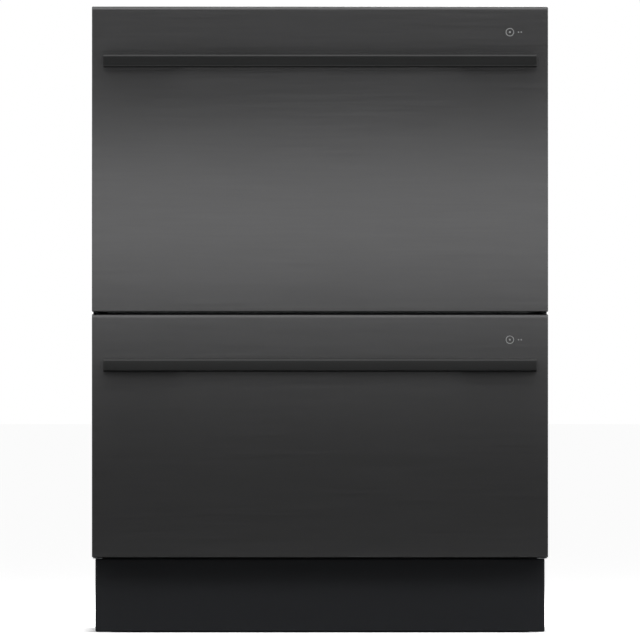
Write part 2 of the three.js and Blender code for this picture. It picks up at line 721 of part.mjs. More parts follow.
// The moulded carrier behind the steel skin. The tub is fixed to its back, the buttons sit in its top
// edge, and its back is cored out where it hangs below the tub.
function doorCarrier(height, tubUnderside) {
  const outline = { width: UNIT_WIDTH, depth: height, corner: FRONT_CORNER, segments: 2 };
  const inset = SHEET + SEAT;
  const edge = roundedEdge(inset, inset, FRONT_EDGE - inset);
  const body = moulding(outline, [...edge, [inset, DOOR_DEPTH]]);
  body.rotateX(-Math.PI / 2).translate(0, FACE_Y, height / 2);
  const wells = [0, 1].map((place) => {
    const well = moulding(
      {
        width: BUTTON_LENGTH + 2 * SEAT,
        depth: BUTTON_WIDTH + 2 * SEAT,
        corner: BUTTON_CORNER + SEAT,
        segments: 2,
      },
      [[0, 0], [0, 3 * BUTTON_HEIGHT]],
    );
    const depth = BUTTON_TOP_DROP + BUTTON_HEIGHT + BUTTON_TRAVEL + SEAT;
    return well.translate(buttonX(place), buttonY(), height - depth);
  });
  const corePitch = (UNIT_WIDTH - 2 * CORE_MARGIN) / CORE_COUNT;
  const cores = [];
  for (let i = 0; i < CORE_COUNT; i += 1) {
    const x = CORE_MARGIN - UNIT_WIDTH / 2 + i * corePitch;
    cores.push(block(
      [x + CORE_RIB / 2, x + corePitch - CORE_RIB / 2],
      [CARRIER_BACK_Y - CORE_DEPTH, CARRIER_BACK_Y + CORE_RIB],
      [CORE_MARGIN, tubUnderside - 2 * CORE_RIB],
    ));
  }
  return cut(body, [...wells, ...cores]);
}

function controlButton() {
  const outline = { width: BUTTON_LENGTH, depth: BUTTON_WIDTH, corner: BUTTON_CORNER, segments: 2 };
  const shoulder = BUTTON_HEIGHT - BUTTON_EDGE;
  return moulding(outline, [[0, 0], [0, shoulder], [BUTTON_EDGE, BUTTON_HEIGHT]]);
}

// A bar with rounded edges on two solid end blocks. Fingers go through the slot between the blocks.
function handle() {
  const half = HANDLE_HEIGHT / 2;
  const frontY = FACE_Y - HANDLE_REACH;
  const backY = frontY + HANDLE_THICKNESS;
  const section = roundedRectangle(
    { width: HANDLE_THICKNESS, depth: HANDLE_HEIGHT, corner: HANDLE_ROUND, segments: 4 },
    0,
  ).map(([y, z]) => [y + (frontY + backY) / 2, z]);
  const bar = alongX(section, [-HANDLE_LENGTH / 2, HANDLE_LENGTH / 2]);
  const blocks = [-1, 1].map((side) => {
    const end = side * (HANDLE_LENGTH / 2);
    const inner = side * (HANDLE_LENGTH / 2 - HANDLE_BLOCK_LENGTH);
    const shape = new THREE.Shape();
    const seatY = FACE_Y - SEAT;
    const startY = backY - half / 2;
    shape.moveTo(end, startY);
    shape.lineTo(end, seatY);
    shape.lineTo(inner, seatY);
    shape.quadraticCurveTo(
      inner + side * HANDLE_BLOCK_ROUND,
      seatY - HANDLE_BLOCK_ROUND,
      inner + side * HANDLE_BLOCK_ROUND,
      (seatY + backY) / 2,
    );
    shape.quadraticCurveTo(inner + side * HANDLE_BLOCK_ROUND, backY + HANDLE_BLOCK_ROUND, inner, backY);
    shape.lineTo(inner, startY);
    const options = { depth: HANDLE_BLOCK_HEIGHT, bevelEnabled: false, curveSegments: 4 };
    return new THREE.ExtrudeGeometry(shape, options).translate(0, 0, -HANDLE_BLOCK_HEIGHT / 2);
  });
  return join([bar, ...blocks]);
}

// ---- Telescopic slides ----
// One member is a channel. Depths count inwards from the cabinet's side, and the channel opens that way
// or, for the member on the tub, the other way.
function slideMember(side, webDepth, lipDepth, half) {
  const place = (depth) => side * (WEB_X - SEAT - depth);
  const inward = Math.sign(lipDepth - webDepth);
  const webInner = webDepth + inward * SLIDE_METAL;
  const channel = [
    [place(webDepth), -half],
    [place(lipDepth), -half],
    [place(lipDepth), -half + SLIDE_METAL],
    [place(webInner), -half + SLIDE_METAL],
    [place(webInner), half - SLIDE_METAL],
    [place(lipDepth), half - SLIDE_METAL],
    [place(lipDepth), half],
    [place(webDepth), half],
  ];
  const start = CABINET_FRONT_Y + SLIDE_SETBACK;
  return alongY(channel, [start, start + SLIDE_LENGTH]);
}

function slideNest(level) {
  return SLIDE_HEIGHT / 2 - level * (SLIDE_METAL + SEAT);
}

// The member on the cabinet ends in a bent stop.
function fixedRail(side) {
  const rail = slideMember(side, 0, SLIDE_THICKNESS - SLIDE_METAL - SEAT, slideNest(0));
  const back = CABINET_FRONT_Y + SLIDE_SETBACK + SLIDE_LENGTH;
  const span = (depth) => [side * (WEB_X - SEAT), side * (WEB_X - SEAT - depth)].sort((a, b) => a - b);
  const heights = [-SLIDE_STOP_HEIGHT / 2, SLIDE_STOP_HEIGHT / 2];
  const end = back + SLIDE_STOP_LENGTH;
  const tongue = block(span(SLIDE_METAL), [back - SLIDE_METAL, end], heights);
  const stop = block(span(SLIDE_THICKNESS), [end - SLIDE_METAL, end], heights);
  return join([rail, tongue, stop]);
}

function middleRail(side) {
  const web = SLIDE_METAL + SEAT;
  return slideMember(side, web, SLIDE_THICKNESS - SLIDE_METAL - SEAT, slideNest(1));
}

function innerRail(side) {
  const lip = 2 * (SLIDE_METAL + SEAT);
  return slideMember(side, SLIDE_THICKNESS, lip, slideNest(2));
}

// ---- Tub, lid and seal. Heights count from the underside of the wash motor. ----
function tub(height) {
  const outline = { width: 2 * TUB_HALF_WIDTH, depth: TUB_DEPTH, corner: TUB_CORNER, segments: 4 };
  const rim = height;
  const body = moulding(outline, [
    ...roundedEdge(0, 0, TUB_FLOOR_ROUND, 2),
    [0, rim - RIM_THICKNESS],
    [-RIM_WIDTH, rim - RIM_THICKNESS],
    [-RIM_WIDTH, rim],
    [TUB_WALL, rim],
    ...roundedEdge(TUB_WALL, TUB_WALL, TUB_FLOOR_ROUND - TUB_WALL, 2).reverse(),
  ]).translate(0, TUB_MIDDLE_Y, MOTOR_HEIGHT);
  const drainY = TUB_MIDDLE_Y + DRAIN_Y;
  const pocketFloor = MOTOR_HEIGHT - DRAIN_POCKET_DEPTH;
  const pocket = drum(
    DRAIN_POCKET_RADIUS + TUB_WALL,
    [pocketFloor, TUB_FLOOR - TUB_WALL / 2],
    DRAIN_X,
    drainY,
    20,
  );
  const pocketHollow = drum(
    DRAIN_POCKET_RADIUS,
    [pocketFloor + TUB_WALL, TUB_FLOOR + TUB_WALL],
    DRAIN_X,
    drainY,
    20,
  );
  const hubHole = drum(HUB_RADIUS + SEAT, [MOTOR_HEIGHT - TUB_WALL, TUB_FLOOR + TUB_WALL], 0, TUB_MIDDLE_Y);
  return cut(join([body, pocket]), [pocketHollow, hubHole]);
}

// A closed double-walled moulding, with lugs that run between the guides on the cabinet.
function lid() {
  const reach = RIM_WIDTH - LID_SETBACK;
  const width = 2 * (TUB_HALF_WIDTH + reach);
  const depth = TUB_DEPTH + 2 * reach;
  const outline = { width, depth, corner: TUB_CORNER + reach, segments: 4 };
  const slab = moulding(outline, [
    ...roundedEdge(0, 0, LID_EDGE, 2),
    [0, LID_THICKNESS - LID_EDGE],
    [LID_EDGE, LID_THICKNESS],
  ]);
  const lugs = [];
  for (const side of [-1, 1]) {
    for (const y of [-LID_LUG_SPACING / 2, LID_LUG_SPACING / 2]) {
      lugs.push(block(
        [side * (width / 2 - LID_EDGE), side * (WEB_X - LID_LUG_GAP)].sort((a, b) => a - b),
        [y - LID_LUG_WIDTH / 2, y + LID_LUG_WIDTH / 2],
        [LID_EDGE, LID_THICKNESS - LID_EDGE],
      ));
    }
  }
  return join([slab, ...lugs]);
}

// A rubber ring along the tub's rim: a flat base under the lid and a lip that leans outwards and down.
function lidSeal() {
  const outline = {
    width: 2 * (TUB_HALF_WIDTH + RIM_WIDTH - SEAL_LIP),
    depth: TUB_DEPTH + 2 * (RIM_WIDTH - SEAL_LIP),
    corner: TUB_CORNER + RIM_WIDTH - SEAL_LIP,
    segments: 3,
  };
  const top = SEAL_HEIGHT - SEAT;
  const base = top / 2;
  const rings = [
    [0, top],
    [0, base],
    [-SEAL_LIP / 2, 0],
    [SEAL_LIP / 2, 0],
    [SEAL_LIP, base],
    [SEAL_WIDTH, base],
    [SEAL_WIDTH, top],
  ].map(([inset, height]) => roundedRectangle(outline, inset)
    .map(([x, y]) => new THREE.Vector3(x, y, height)));
  return skin(rings.reverse(), true);
}

// ---- Wash parts ----
// The motor hangs under the tub. Its hub and spindle come up through the floor, and the drain pump lies
// beside it.
function washMotor() {
  const top = MOTOR_HEIGHT - SEAT;
  const hubTop = TUB_FLOOR + HUB_HEIGHT;
  const body = new THREE.LatheGeometry([
    new THREE.Vector2(0, 0),
    new THREE.Vector2(MOTOR_STEP - MOTOR_EDGE, 0),
    new THREE.Vector2(MOTOR_STEP, MOTOR_EDGE),
    new THREE.Vector2(MOTOR_STEP, top / 2),
    new THREE.Vector2(MOTOR_RADIUS, top / 2 + MOTOR_EDGE),
    new THREE.Vector2(MOTOR_RADIUS, top),
    new THREE.Vector2(HUB_RADIUS, top),
    new THREE.Vector2(HUB_RADIUS, hubTop - HUB_EDGE),
    new THREE.Vector2(HUB_RADIUS - HUB_EDGE, hubTop),
    new THREE.Vector2(SPINDLE_RADIUS, hubTop),
    new THREE.Vector2(SPINDLE_RADIUS, hubTop + SPINDLE_HEIGHT),
    new THREE.Vector2(0, hubTop + SPINDLE_HEIGHT),
  ], 16).rotateX(Math.PI / 2);
  const pumpY = PUMP_LENGTH / 2;
  const pumpZ = top / 2;
  const pump = rod(
    new THREE.Vector3(-PUMP_OFFSET, -pumpY, pumpZ),
    new THREE.Vector3(-PUMP_OFFSET, pumpY, pumpZ),
    PUMP_RADIUS,
    12,
  );
  const duct = rod(
    new THREE.Vector3(-PUMP_OFFSET, 0, pumpZ),
    new THREE.Vector3(-MOTOR_STEP / 2, 0, pumpZ),
    DUCT_RADIUS,
    8,
  );
  return join([body, pump, duct]);
}

// Two tapered blades on a hub, with a row of jets in each.
function sprayArm() {
  const tipX = ARM_REACH - ARM_TIP_RADIUS;
  const tip = ARM_TIP_RADIUS - ARM_BEVEL;
  const waist = ARM_HUB_RADIUS - ARM_BEVEL;
  const shape = new THREE.Shape();
  shape.moveTo(0, -waist);
  shape.lineTo(tipX, -tip);
  shape.absarc(tipX, 0, tip, -Math.PI / 2, Math.PI / 2);
  shape.lineTo(0, waist);
  shape.absarc(-tipX, 0, tip, Math.PI / 2, Math.PI * 1.5);
  const blade = new THREE.ExtrudeGeometry(shape, {
    depth: ARM_BLADE - 2 * ARM_BEVEL,
    bevelThickness: ARM_BEVEL,
    bevelSize: ARM_BEVEL,
    bevelSegments: 1,
    curveSegments: 5,
  }).translate(0, 0, ARM_BLADE_LIFT + ARM_BEVEL);
  const hub = drum(ARM_HUB_RADIUS, [0, ARM_HUB_HEIGHT], 0, 0, 20);
  const boss = drum(ARM_CAP_RADIUS, [ARM_BLADE_LIFT, ARM_HUB_HEIGHT + ARM_CAP_HEIGHT], 0, 0, 12);
  const socket = drum(SPINDLE_RADIUS + SEAT, [-1, SPINDLE_HEIGHT], 0, 0, 12);
  const jets = [];
  const jetSpace = (tipX - ARM_HUB_RADIUS) / JET_COUNT;
  for (const side of [-1, 1]) {
    for (let i = 1; i <= JET_COUNT; i += 1) {
      const x = side * (ARM_HUB_RADIUS + i * jetSpace);
      jets.push(drum(JET_RADIUS, [0, ARM_HUB_HEIGHT], x, 0, 6));
    }
  }
  return cut(join([blade, hub, boss]), [socket, ...jets]);
}

// A plate over the tub's floor, with slots that fan out from the hub and a hole for the drain filter.
// The slots that run towards that hole end short of it.
function filterPlate() {
  const outline = {
    width: 2 * (TUB_HALF_WIDTH - FILTER_PLATE_INSET),
    depth: TUB_DEPTH - 2 * FILTER_PLATE_INSET,
    corner: TUB_CORNER,
    segments: 4,
  };
  const plate = moulding(outline, [[0, 0], [0, FILTER_PLATE_THICKNESS]]);
  const through = [-FILTER_PLATE_THICKNESS, 2 * FILTER_PLATE_THICKNESS];
  const tools = [
    drum(HUB_RADIUS + 2 * SEAT, through),
    drum(DRAIN_POCKET_RADIUS - DRAIN_PLAY / 2, through, DRAIN_X, DRAIN_Y),
  ];
  const start = HUB_RADIUS + FILTER_SLOT_START;
  const end = outline.depth / 2 - FILTER_SLOT_MARGIN;
  const keepOut = DRAIN_POCKET_RADIUS + 2 * DRAIN_FLANGE;
  for (let i = 0; i < FILTER_SLOTS; i += 1) {
    const angle = ((i + 0.5) / FILTER_SLOTS) * 2 * Math.PI;
    const across = Math.abs(DRAIN_X * Math.sin(angle) - DRAIN_Y * Math.cos(angle));
    const along = DRAIN_X * Math.cos(angle) + DRAIN_Y * Math.sin(angle);
    const far = across < keepOut && along > 0 ? along - keepOut : end;
    const sides = [-FILTER_SLOT_WIDTH / 2, FILTER_SLOT_WIDTH / 2];
    tools.push(block([start, far], sides, through).rotateZ(angle));
  }
  return cut(plate, tools);
}

// A cup that drops into the tub's pocket, with a flange on the filter plate and a grip across its top.
function drainFilter() {
  const radius = DRAIN_POCKET_RADIUS - DRAIN_PLAY;
  const flangeRadius = DRAIN_POCKET_RADIUS + DRAIN_FLANGE;
  const flangeBottom = SEAT;
  const flangeTop = SEAT + DRAIN_FLANGE_THICKNESS;
  const depth = DRAIN_POCKET_DEPTH + FILTER_PLATE_THICKNESS;
  const body = new THREE.LatheGeometry([
    new THREE.Vector2(0, -depth),
    new THREE.Vector2(radius - DRAIN_EDGE, -depth),
    new THREE.Vector2(radius, -depth + DRAIN_EDGE),
    new THREE.Vector2(radius, flangeBottom),
    new THREE.Vector2(flangeRadius, flangeBottom),
    new THREE.Vector2(flangeRadius, flangeTop - DRAIN_EDGE / 2),
    new THREE.Vector2(flangeRadius - DRAIN_EDGE / 2, flangeTop),
    new THREE.Vector2(0, flangeTop),
  ], 20).rotateX(Math.PI / 2);
  const outline = {
    width: DRAIN_GRIP_LENGTH,
    depth: DRAIN_GRIP_WIDTH,
    corner: DRAIN_GRIP_WIDTH / 2,
    segments: 3,
  };
  const grip = moulding(outline, [
    [0, flangeTop / 2],
    [0, flangeTop + DRAIN_GRIP_HEIGHT - DRAIN_EDGE],
    [DRAIN_EDGE, flangeTop + DRAIN_GRIP_HEIGHT],
  ]);
  return join([body, grip]);
}

// ---- Wire basket. Heights count from the middle of the lowest wires. ----
const CROSS_LEVEL = WIRE - WIRE_WELD;
const BASKET_STAND = CROSS_LEVEL + WIRE / 2;
const PIVOT_LEVEL = BASKET_STAND + SEAT + WIRE / 2;
const RACK_LEVEL = BASKET_HEIGHT + RIM_WIRE / 2 + SEAT + WIRE / 2;

function spread(length, count, i) {
  const inset = BASKET_CORNER;
  return inset - length / 2 + (i * (length - 2 * inset)) / (count - 1);
}

function crossWireY(i) {
  return spread(BASKET_DEPTH, CROSS_WIRES, i);
}

// One U-shaped wire: down from the rim, across the floor and up to the rim again.
function basketWire(span, level, place) {
  const half = span / 2;
  const side = [[half, BASKET_HEIGHT], [half, level + WIRE_BEND], [half - WIRE_BEND, level]];
  const outline = [...side.map(([u, z]) => [-u, z]), ...side.reverse()];
  return outline.map(([u, z]) => place(u, z));
}

function rimLoop(diameter, level) {
  const outline = { width: BASKET_WIDTH, depth: BASKET_DEPTH, corner: BASKET_CORNER, segments: 4 };
  const points = roundedRectangle(outline, 0).map(([x, y]) => new THREE.Vector3(x, y, level));
  return wire(points, diameter, new THREE.Vector3(0, 0, 1), true);
}

function tineX(i) {
  return (i - (TINE_COUNT - 1) / 2) * TINE_PITCH;
}

// A small block with a round eye that a pivot wire turns in.
function eyeBlock(size, levels, pivot, along) {
  const half = SADDLE / 2;
  const body = along === 'x'
    ? block([-SADDLE_WIDTH / 2, SADDLE_WIDTH / 2], [-half, half], levels)
    : block([-half, half], [-SADDLE_WIDTH / 2, SADDLE_WIDTH / 2], levels);
  const reach = new THREE.Vector3(along === 'x' ? SADDLE_WIDTH : 0, along === 'x' ? 0 : SADDLE_WIDTH, 0);
  const middle = new THREE.Vector3(0, 0, pivot);
  const eye = rod(middle.clone().sub(reach), middle.clone().add(reach), size / 2 + PIVOT_PLAY, 8);
  return cut(body, [eye]);
}

function basket() {
  const pieces = [rimLoop(RIM_WIRE, BASKET_HEIGHT)];
  for (let i = 0; i < CROSS_WIRES; i += 1) {
    const y = crossWireY(i);
    const points = basketWire(BASKET_WIDTH, CROSS_LEVEL, (u, z) => new THREE.Vector3(u, y, z));
    pieces.push(wire(points, WIRE, new THREE.Vector3(0, 1, 0)));
  }
  for (let i = 0; i < LONG_WIRES; i += 1) {
    const x = spread(BASKET_WIDTH, LONG_WIRES, i);
    const points = basketWire(BASKET_DEPTH, 0, (u, z) => new THREE.Vector3(x, u, z));
    pieces.push(wire(points, WIRE, new THREE.Vector3(1, 0, 0)));
  }
  const plateTop = -(BASKET_LIFT - SEAT - FILTER_PLATE_THICKNESS);
  for (const i of [0, LONG_WIRES - 1]) {
    for (const j of [0, CROSS_WIRES - 1]) {
      const x = spread(BASKET_WIDTH, LONG_WIRES, i);
      pieces.push(drum(LEG_RADIUS, [plateTop + SEAT, CROSS_LEVEL], x, crossWireY(j), 6));
    }
  }
  for (let i = 0; i < TINE_COUNT; i += 1) {
    const foot = new THREE.Vector3(tineX(i), crossWireY(FIXED_ROW), CROSS_LEVEL);
    const tip = foot.clone().setZ(BASKET_STAND + TINE_HEIGHT);
    pieces.push(rod(foot, tip, TINE / 2));
  }
  for (const i of [SADDLE_PLACE, TINE_COUNT - 1 - SADDLE_PLACE]) {
    const saddle = eyeBlock(WIRE, [CROSS_LEVEL, PIVOT_LEVEL + SADDLE / 2], PIVOT_LEVEL, 'x');
    pieces.push(saddle.translate(tineX(i), crossWireY(FOLDING_ROW), 0));
  }
  for (const way of [-1, 1]) {
    const eye = eyeBlock(WIRE, [BASKET_HEIGHT, RACK_LEVEL + SADDLE / 2], RACK_LEVEL, 'y');
    pieces.push(eye.translate(BASKET_WIDTH / 2, way * (RACK_LENGTH / 2 - SADDLE_WIDTH), 0));
  }
  return join(pieces);
}

// A row of tines on a wire that turns in the basket's saddles. Its origin is on that wire's axis.
function foldingTines() {
  const half = ((TINE_COUNT - 1) / 2) * TINE_PITCH + TINE;
  const pivot = rod(
    new THREE.Vector3(-half, 0, 0),
    new THREE.Vector3(half, 0, 0),
    WIRE / 2,
  );
  const tines = [];
  for (let i = 0; i < TINE_COUNT; i += 1) {
    const foot = new THREE.Vector3(tineX(i), 0, 0);
    tines.push(rod(foot, foot.clone().setZ(TINE_HEIGHT), TINE / 2));
  }
  return join([pivot, ...tines]);
}

// A shelf of wires for cups. It turns on its outer wire, in the eyes on the basket's rim.
function cupRack() {
  const half = RACK_LENGTH / 2;
  const inner = half - 2 * SADDLE_WIDTH - WIRE / 2;
  const up = new THREE.Vector3(0, 0, 1);
  const pivot = rod(new THREE.Vector3(0, -half, 0), new THREE.Vector3(0, half, 0), WIRE / 2);
  const frame = wire([
    new THREE.Vector3(0, -inner, 0),
    new THREE.Vector3(WIRE_BEND - RACK_WIDTH, -inner, 0),
    new THREE.Vector3(-RACK_WIDTH, WIRE_BEND - inner, 0),
    new THREE.Vector3(-RACK_WIDTH, inner - WIRE_BEND, 0),
    new THREE.Vector3(WIRE_BEND - RACK_WIDTH, inner, 0),
    new THREE.Vector3(0, inner, 0),
  ], WIRE, up);
  const pieces = [pivot, frame];
  for (let i = 1; i <= RACK_CROSS_WIRES; i += 1) {
    const y = -inner + (i * 2 * inner) / (RACK_CROSS_WIRES + 1);
    pieces.push(rod(new THREE.Vector3(0, y, 0), new THREE.Vector3(-RACK_WIDTH, y, 0), WIRE / 2));
  }
  return join(pieces);
}

// ---- Cutlery basket: an open box with slotted walls, cross walls and a grip along its middle ----
function cutleryBasket() {
  const outline = { width: CUTLERY_WIDTH, depth: CUTLERY_DEPTH, corner: CUTLERY_CORNER, segments: 3 };
  const pan = moulding(outline, panStations(CUTLERY_HEIGHT, CUTLERY_WALL, CUTLERY_WALL, 2));
  const cellDepth = CUTLERY_DEPTH / CUTLERY_CELLS;
  const halfWall = CUTLERY_WALL / 2;
  const crossWalls = [];
  for (let i = 1; i < CUTLERY_CELLS; i += 1) {
    const y = -CUTLERY_DEPTH / 2 + i * cellDepth;
    crossWalls.push(block(
      [halfWall - CUTLERY_WIDTH / 2, CUTLERY_WIDTH / 2 - halfWall],
      [y - halfWall, y + halfWall],
      [halfWall, CUTLERY_CROSS_HEIGHT],
    ));
  }
  const gripTop = CUTLERY_HEIGHT + CUTLERY_GRIP_HEIGHT;
  const gripHalf = CUTLERY_GRIP_WIDTH / 2;
  const grip = block([-halfWall, halfWall], [-gripHalf, gripHalf], [halfWall, gripTop]);
  const gripHole = block(
    [-CUTLERY_WALL, CUTLERY_WALL],
    [CUTLERY_GRIP_BAR - gripHalf, gripHalf - CUTLERY_GRIP_BAR],
    [CUTLERY_HEIGHT - CUTLERY_GRIP_BAR, gripTop - CUTLERY_GRIP_BAR],
  );
  const slots = [];
  for (let i = 0; i < CUTLERY_SLOTS; i += 1) {
    const y = ((i + 0.5) / CUTLERY_SLOTS - 0.5) * CUTLERY_SLOT_SPAN;
    slots.push(block(
      [-CUTLERY_WIDTH, CUTLERY_WIDTH],
      [y - CUTLERY_SLOT / 2, y + CUTLERY_SLOT / 2],
      [CUTLERY_SLOT, CUTLERY_SLOT + CUTLERY_SLOT_HEIGHT],
    ));
  }
  return cut(join([pan, ...crossWalls, grip]), [...slots, gripHole]);
}

// ---- Detergent dispenser: a body with a cup and a cap, and the door over the cup ----
const CUP_Z = DISPENSER_HEIGHT / 2 + CUP_RAISE;
const CUP_DOOR_WIDTH = CUP_WIDTH + 2 * DOOR_OVERLAP;
const CUP_DOOR_HEIGHT = CUP_HEIGHT + 2 * DOOR_OVERLAP;
const CUP_HINGE_Y = DISPENSER_DEPTH + SEAT + DOOR_BARREL;
const CUP_HINGE_Z = CUP_Z - CUP_DOOR_HEIGHT / 2;

function detergentDispenser() {
  const plan = {
    width: DISPENSER_WIDTH,
    depth: DISPENSER_HEIGHT,
    corner: DISPENSER_CORNER,
    segments: 2,
  };
  const body = moulding(plan, [...roundedEdge(0, 0, DISPENSER_ROUND, 2), [0, DISPENSER_DEPTH]]);
  body.rotateX(Math.PI / 2).translate(0, DISPENSER_DEPTH, DISPENSER_HEIGHT / 2);
  const cupPlan = { width: CUP_WIDTH, depth: CUP_HEIGHT, corner: CUP_CORNER, segments: 2 };
  const cup = moulding(cupPlan, [[0, 0], [0, 2 * CUP_DEPTH]]);
  cup.rotateX(-Math.PI / 2).translate(CUP_X, DISPENSER_DEPTH - CUP_DEPTH, CUP_Z);
  const cap = rod(
    new THREE.Vector3(CAP_X, DISPENSER_DEPTH / 2, CUP_Z),
    new THREE.Vector3(CAP_X, DISPENSER_DEPTH + CAP_HEIGHT, CUP_Z),
    CAP_RADIUS,
    16,
  );
  const ears = [];
  for (const side of [-1, 1]) {
    const near = CUP_X + side * (CUP_DOOR_WIDTH / 2 + SEAT);
    ears.push(block(
      [near, near + side * DOOR_EAR].sort((a, b) => a - b),
      [DISPENSER_DEPTH / 2, CUP_HINGE_Y + DOOR_BARREL],
      [CUP_HINGE_Z - DOOR_BARREL, CUP_HINGE_Z + DOOR_BARREL],
    ));
  }
  const reach = CUP_DOOR_WIDTH / 2 + 2 * DOOR_EAR;
  const bore = rod(
    new THREE.Vector3(CUP_X - reach, CUP_HINGE_Y, CUP_HINGE_Z),
    new THREE.Vector3(CUP_X + reach, CUP_HINGE_Y, CUP_HINGE_Z),
    DOOR_PIN + DOOR_PIN_PLAY,
    8,
  );
  return cut(join([body, cap, ...ears]), [cup, bore]);
}

// The cup's door turns on the pins at the ends of its barrel. Its origin is on their axis.
function detergentDoor() {
  const plan = { width: CUP_DOOR_WIDTH, depth: CUP_DOOR_HEIGHT, corner: CUP_CORNER, segments: 2 };
  const plate = moulding(plan, [[0, 0], [0, DOOR_PLATE]]);
  plate.rotateX(Math.PI / 2).translate(0, 0, CUP_DOOR_HEIGHT / 2);
  const half = CUP_DOOR_WIDTH / 2;
  const barrel = rod(new THREE.Vector3(-half, 0, 0), new THREE.Vector3(half, 0, 0), DOOR_BARREL, 12);
  const pin = rod(
    new THREE.Vector3(-half - DOOR_EAR, 0, 0),
    new THREE.Vector3(half + DOOR_EAR, 0, 0),
    DOOR_PIN,
    8,
  );
  return join([plate, barrel, pin]);
}

// ---- Assembly ----
function cabinet() {
  const group = new THREE.Group();
  group.add(
    named('left_side_panel', sidePanel(-1), MATERIALS.galvanised),
    named('right_side_panel', sidePanel(1), MATERIALS.galvanised),
    named('top_panel', topPanel(), MATERIALS.galvanised),
    named('back_panel', backPanel(), MATERIALS.galvanised),
    named('middle_brace', middleBrace(), MATERIALS.galvanised),
    named('base_tray', baseTray(), MATERIALS.carrierPlastic),
    named('toe_kick', toeKick(), MATERIALS.blackSheet),
    named('supply_gland', supplyGland(), MATERIALS.rubber),
  );
  for (const [name, [x, y]] of Object.entries(footPlaces())) {
    group.add(named(name, levellingFoot(), MATERIALS.carrierPlastic, [x, y, 0]));
  }
  return group;
}

// What stays in the cabinet for one drawer: the fixed rails, the middle rails at rest, the lid, its seal.
function drawerStation(prefix, bottom, rim) {
  const group = new THREE.Group();
  const slideZ = bottom + MOTOR_HEIGHT + SLIDE_LIFT;
  for (const [sideName, side] of [['left', -1], ['right', 1]]) {
    group.add(
      named(`${prefix}_${sideName}_fixed_rail`, fixedRail(side), MATERIALS.slideSteel, [0, 0, slideZ]),
      named(`${prefix}_${sideName}_middle_rail`, middleRail(side), MATERIALS.slideSteel, [0, 0, slideZ]),
    );
  }
  const lidPlace = [0, TUB_MIDDLE_Y, rim + LID_BOTTOM_OVER_RIM];
  const sealPlace = [0, TUB_MIDDLE_Y, rim + SEAT + LID_TRAVEL];
  group.add(
    named(`${prefix}_lid`, lid(), MATERIALS.lidPlastic, lidPlace),
    named(`${prefix}_lid_seal`, lidSeal(), MATERIALS.rubber, sealPlace),
  );
  return group;
}

// What runs out with one drawer. Heights in this group count from the underside of the wash motor.
function drawer(prefix, bottom, rim, frontBottom, frontTop, handleDrop) {
  const group = new THREE.Group();
  group.position.z = bottom;
  const add = (name, geometry, material, place) => {
    group.add(named(`${prefix}_${name}`, geometry, material, place));
  };
  const rimLevel = rim - bottom;
  const frontHeight = frontTop - frontBottom;
  const front = [0, 0, frontBottom - bottom];
  const carrier = doorCarrier(frontHeight, MOTOR_HEIGHT + bottom - frontBottom);
  add('front_panel', frontPanel(frontHeight), MATERIALS.darkSteel, front);
  add('door_carrier', carrier, MATERIALS.carrierPlastic, front);
  add('handle', handle(), MATERIALS.darkHandle, [0, 0, frontTop - bottom - handleDrop]);
  const buttonZ = frontTop - bottom - BUTTON_TOP_DROP - BUTTON_HEIGHT;
  add('power_button', controlButton(), MATERIALS.button, [buttonX(0), buttonY(), buttonZ]);
  add('start_button', controlButton(), MATERIALS.button, [buttonX(1), buttonY(), buttonZ]);

  const middle = [0, TUB_MIDDLE_Y, 0];
  add('tub', tub(rimLevel - MOTOR_HEIGHT), MATERIALS.tubPlastic);
  add('wash_motor', washMotor(), MATERIALS.motorPlastic, middle);
  const slide = [0, 0, MOTOR_HEIGHT + SLIDE_LIFT];
  add('left_inner_rail', innerRail(-1), MATERIALS.slideSteel, slide);
  add('right_inner_rail', innerRail(1), MATERIALS.slideSteel, slide);
  const plateZ = TUB_FLOOR + SEAT;
  const drainPlace = [DRAIN_X, TUB_MIDDLE_Y + DRAIN_Y, plateZ + FILTER_PLATE_THICKNESS];
  add('filter_plate', filterPlate(), MATERIALS.washPlastic, [0, TUB_MIDDLE_Y, plateZ]);
  add('drain_filter', drainFilter(), MATERIALS.washPlastic, drainPlace);
  const armZ = TUB_FLOOR + HUB_HEIGHT + SEAT;
  add('spray_arm', sprayArm(), MATERIALS.washPlastic, [0, TUB_MIDDLE_Y, armZ]);

  const basketZ = TUB_FLOOR + BASKET_LIFT;
  const tinesY = TUB_MIDDLE_Y + crossWireY(FOLDING_ROW);
  const cutleryX = CUTLERY_FROM_SIDE + CUTLERY_WIDTH / 2 - BASKET_WIDTH / 2;
  add('basket', basket(), MATERIALS.coatedWire, [0, TUB_MIDDLE_Y, basketZ]);
  add('folding_tines', foldingTines(), MATERIALS.coatedWire, [0, tinesY, basketZ + PIVOT_LEVEL]);
  add('cup_rack', cupRack(), MATERIALS.coatedWire, [BASKET_WIDTH / 2, TUB_MIDDLE_Y, basketZ + RACK_LEVEL]);
  const cutleryPlace = [cutleryX, TUB_MIDDLE_Y, basketZ + BASKET_STAND + SEAT];
  add('cutlery_basket', cutleryBasket(), MATERIALS.washPlastic, cutleryPlace);

  const dispenserY = TUB_FRONT_Y + TUB_WALL + SEAT;
  const dispenserZ = rimLevel - DISPENSER_DROP - DISPENSER_HEIGHT;
  add('detergent_dispenser', detergentDispenser(), MATERIALS.washPlastic, [0, dispenserY, dispenserZ]);
  const doorPlace = [CUP_X, dispenserY + CUP_HINGE_Y, dispenserZ + CUP_HINGE_Z];
  add('detergent_door', detergentDoor(), MATERIALS.lidPlastic, doorPlace);
  return group;
}

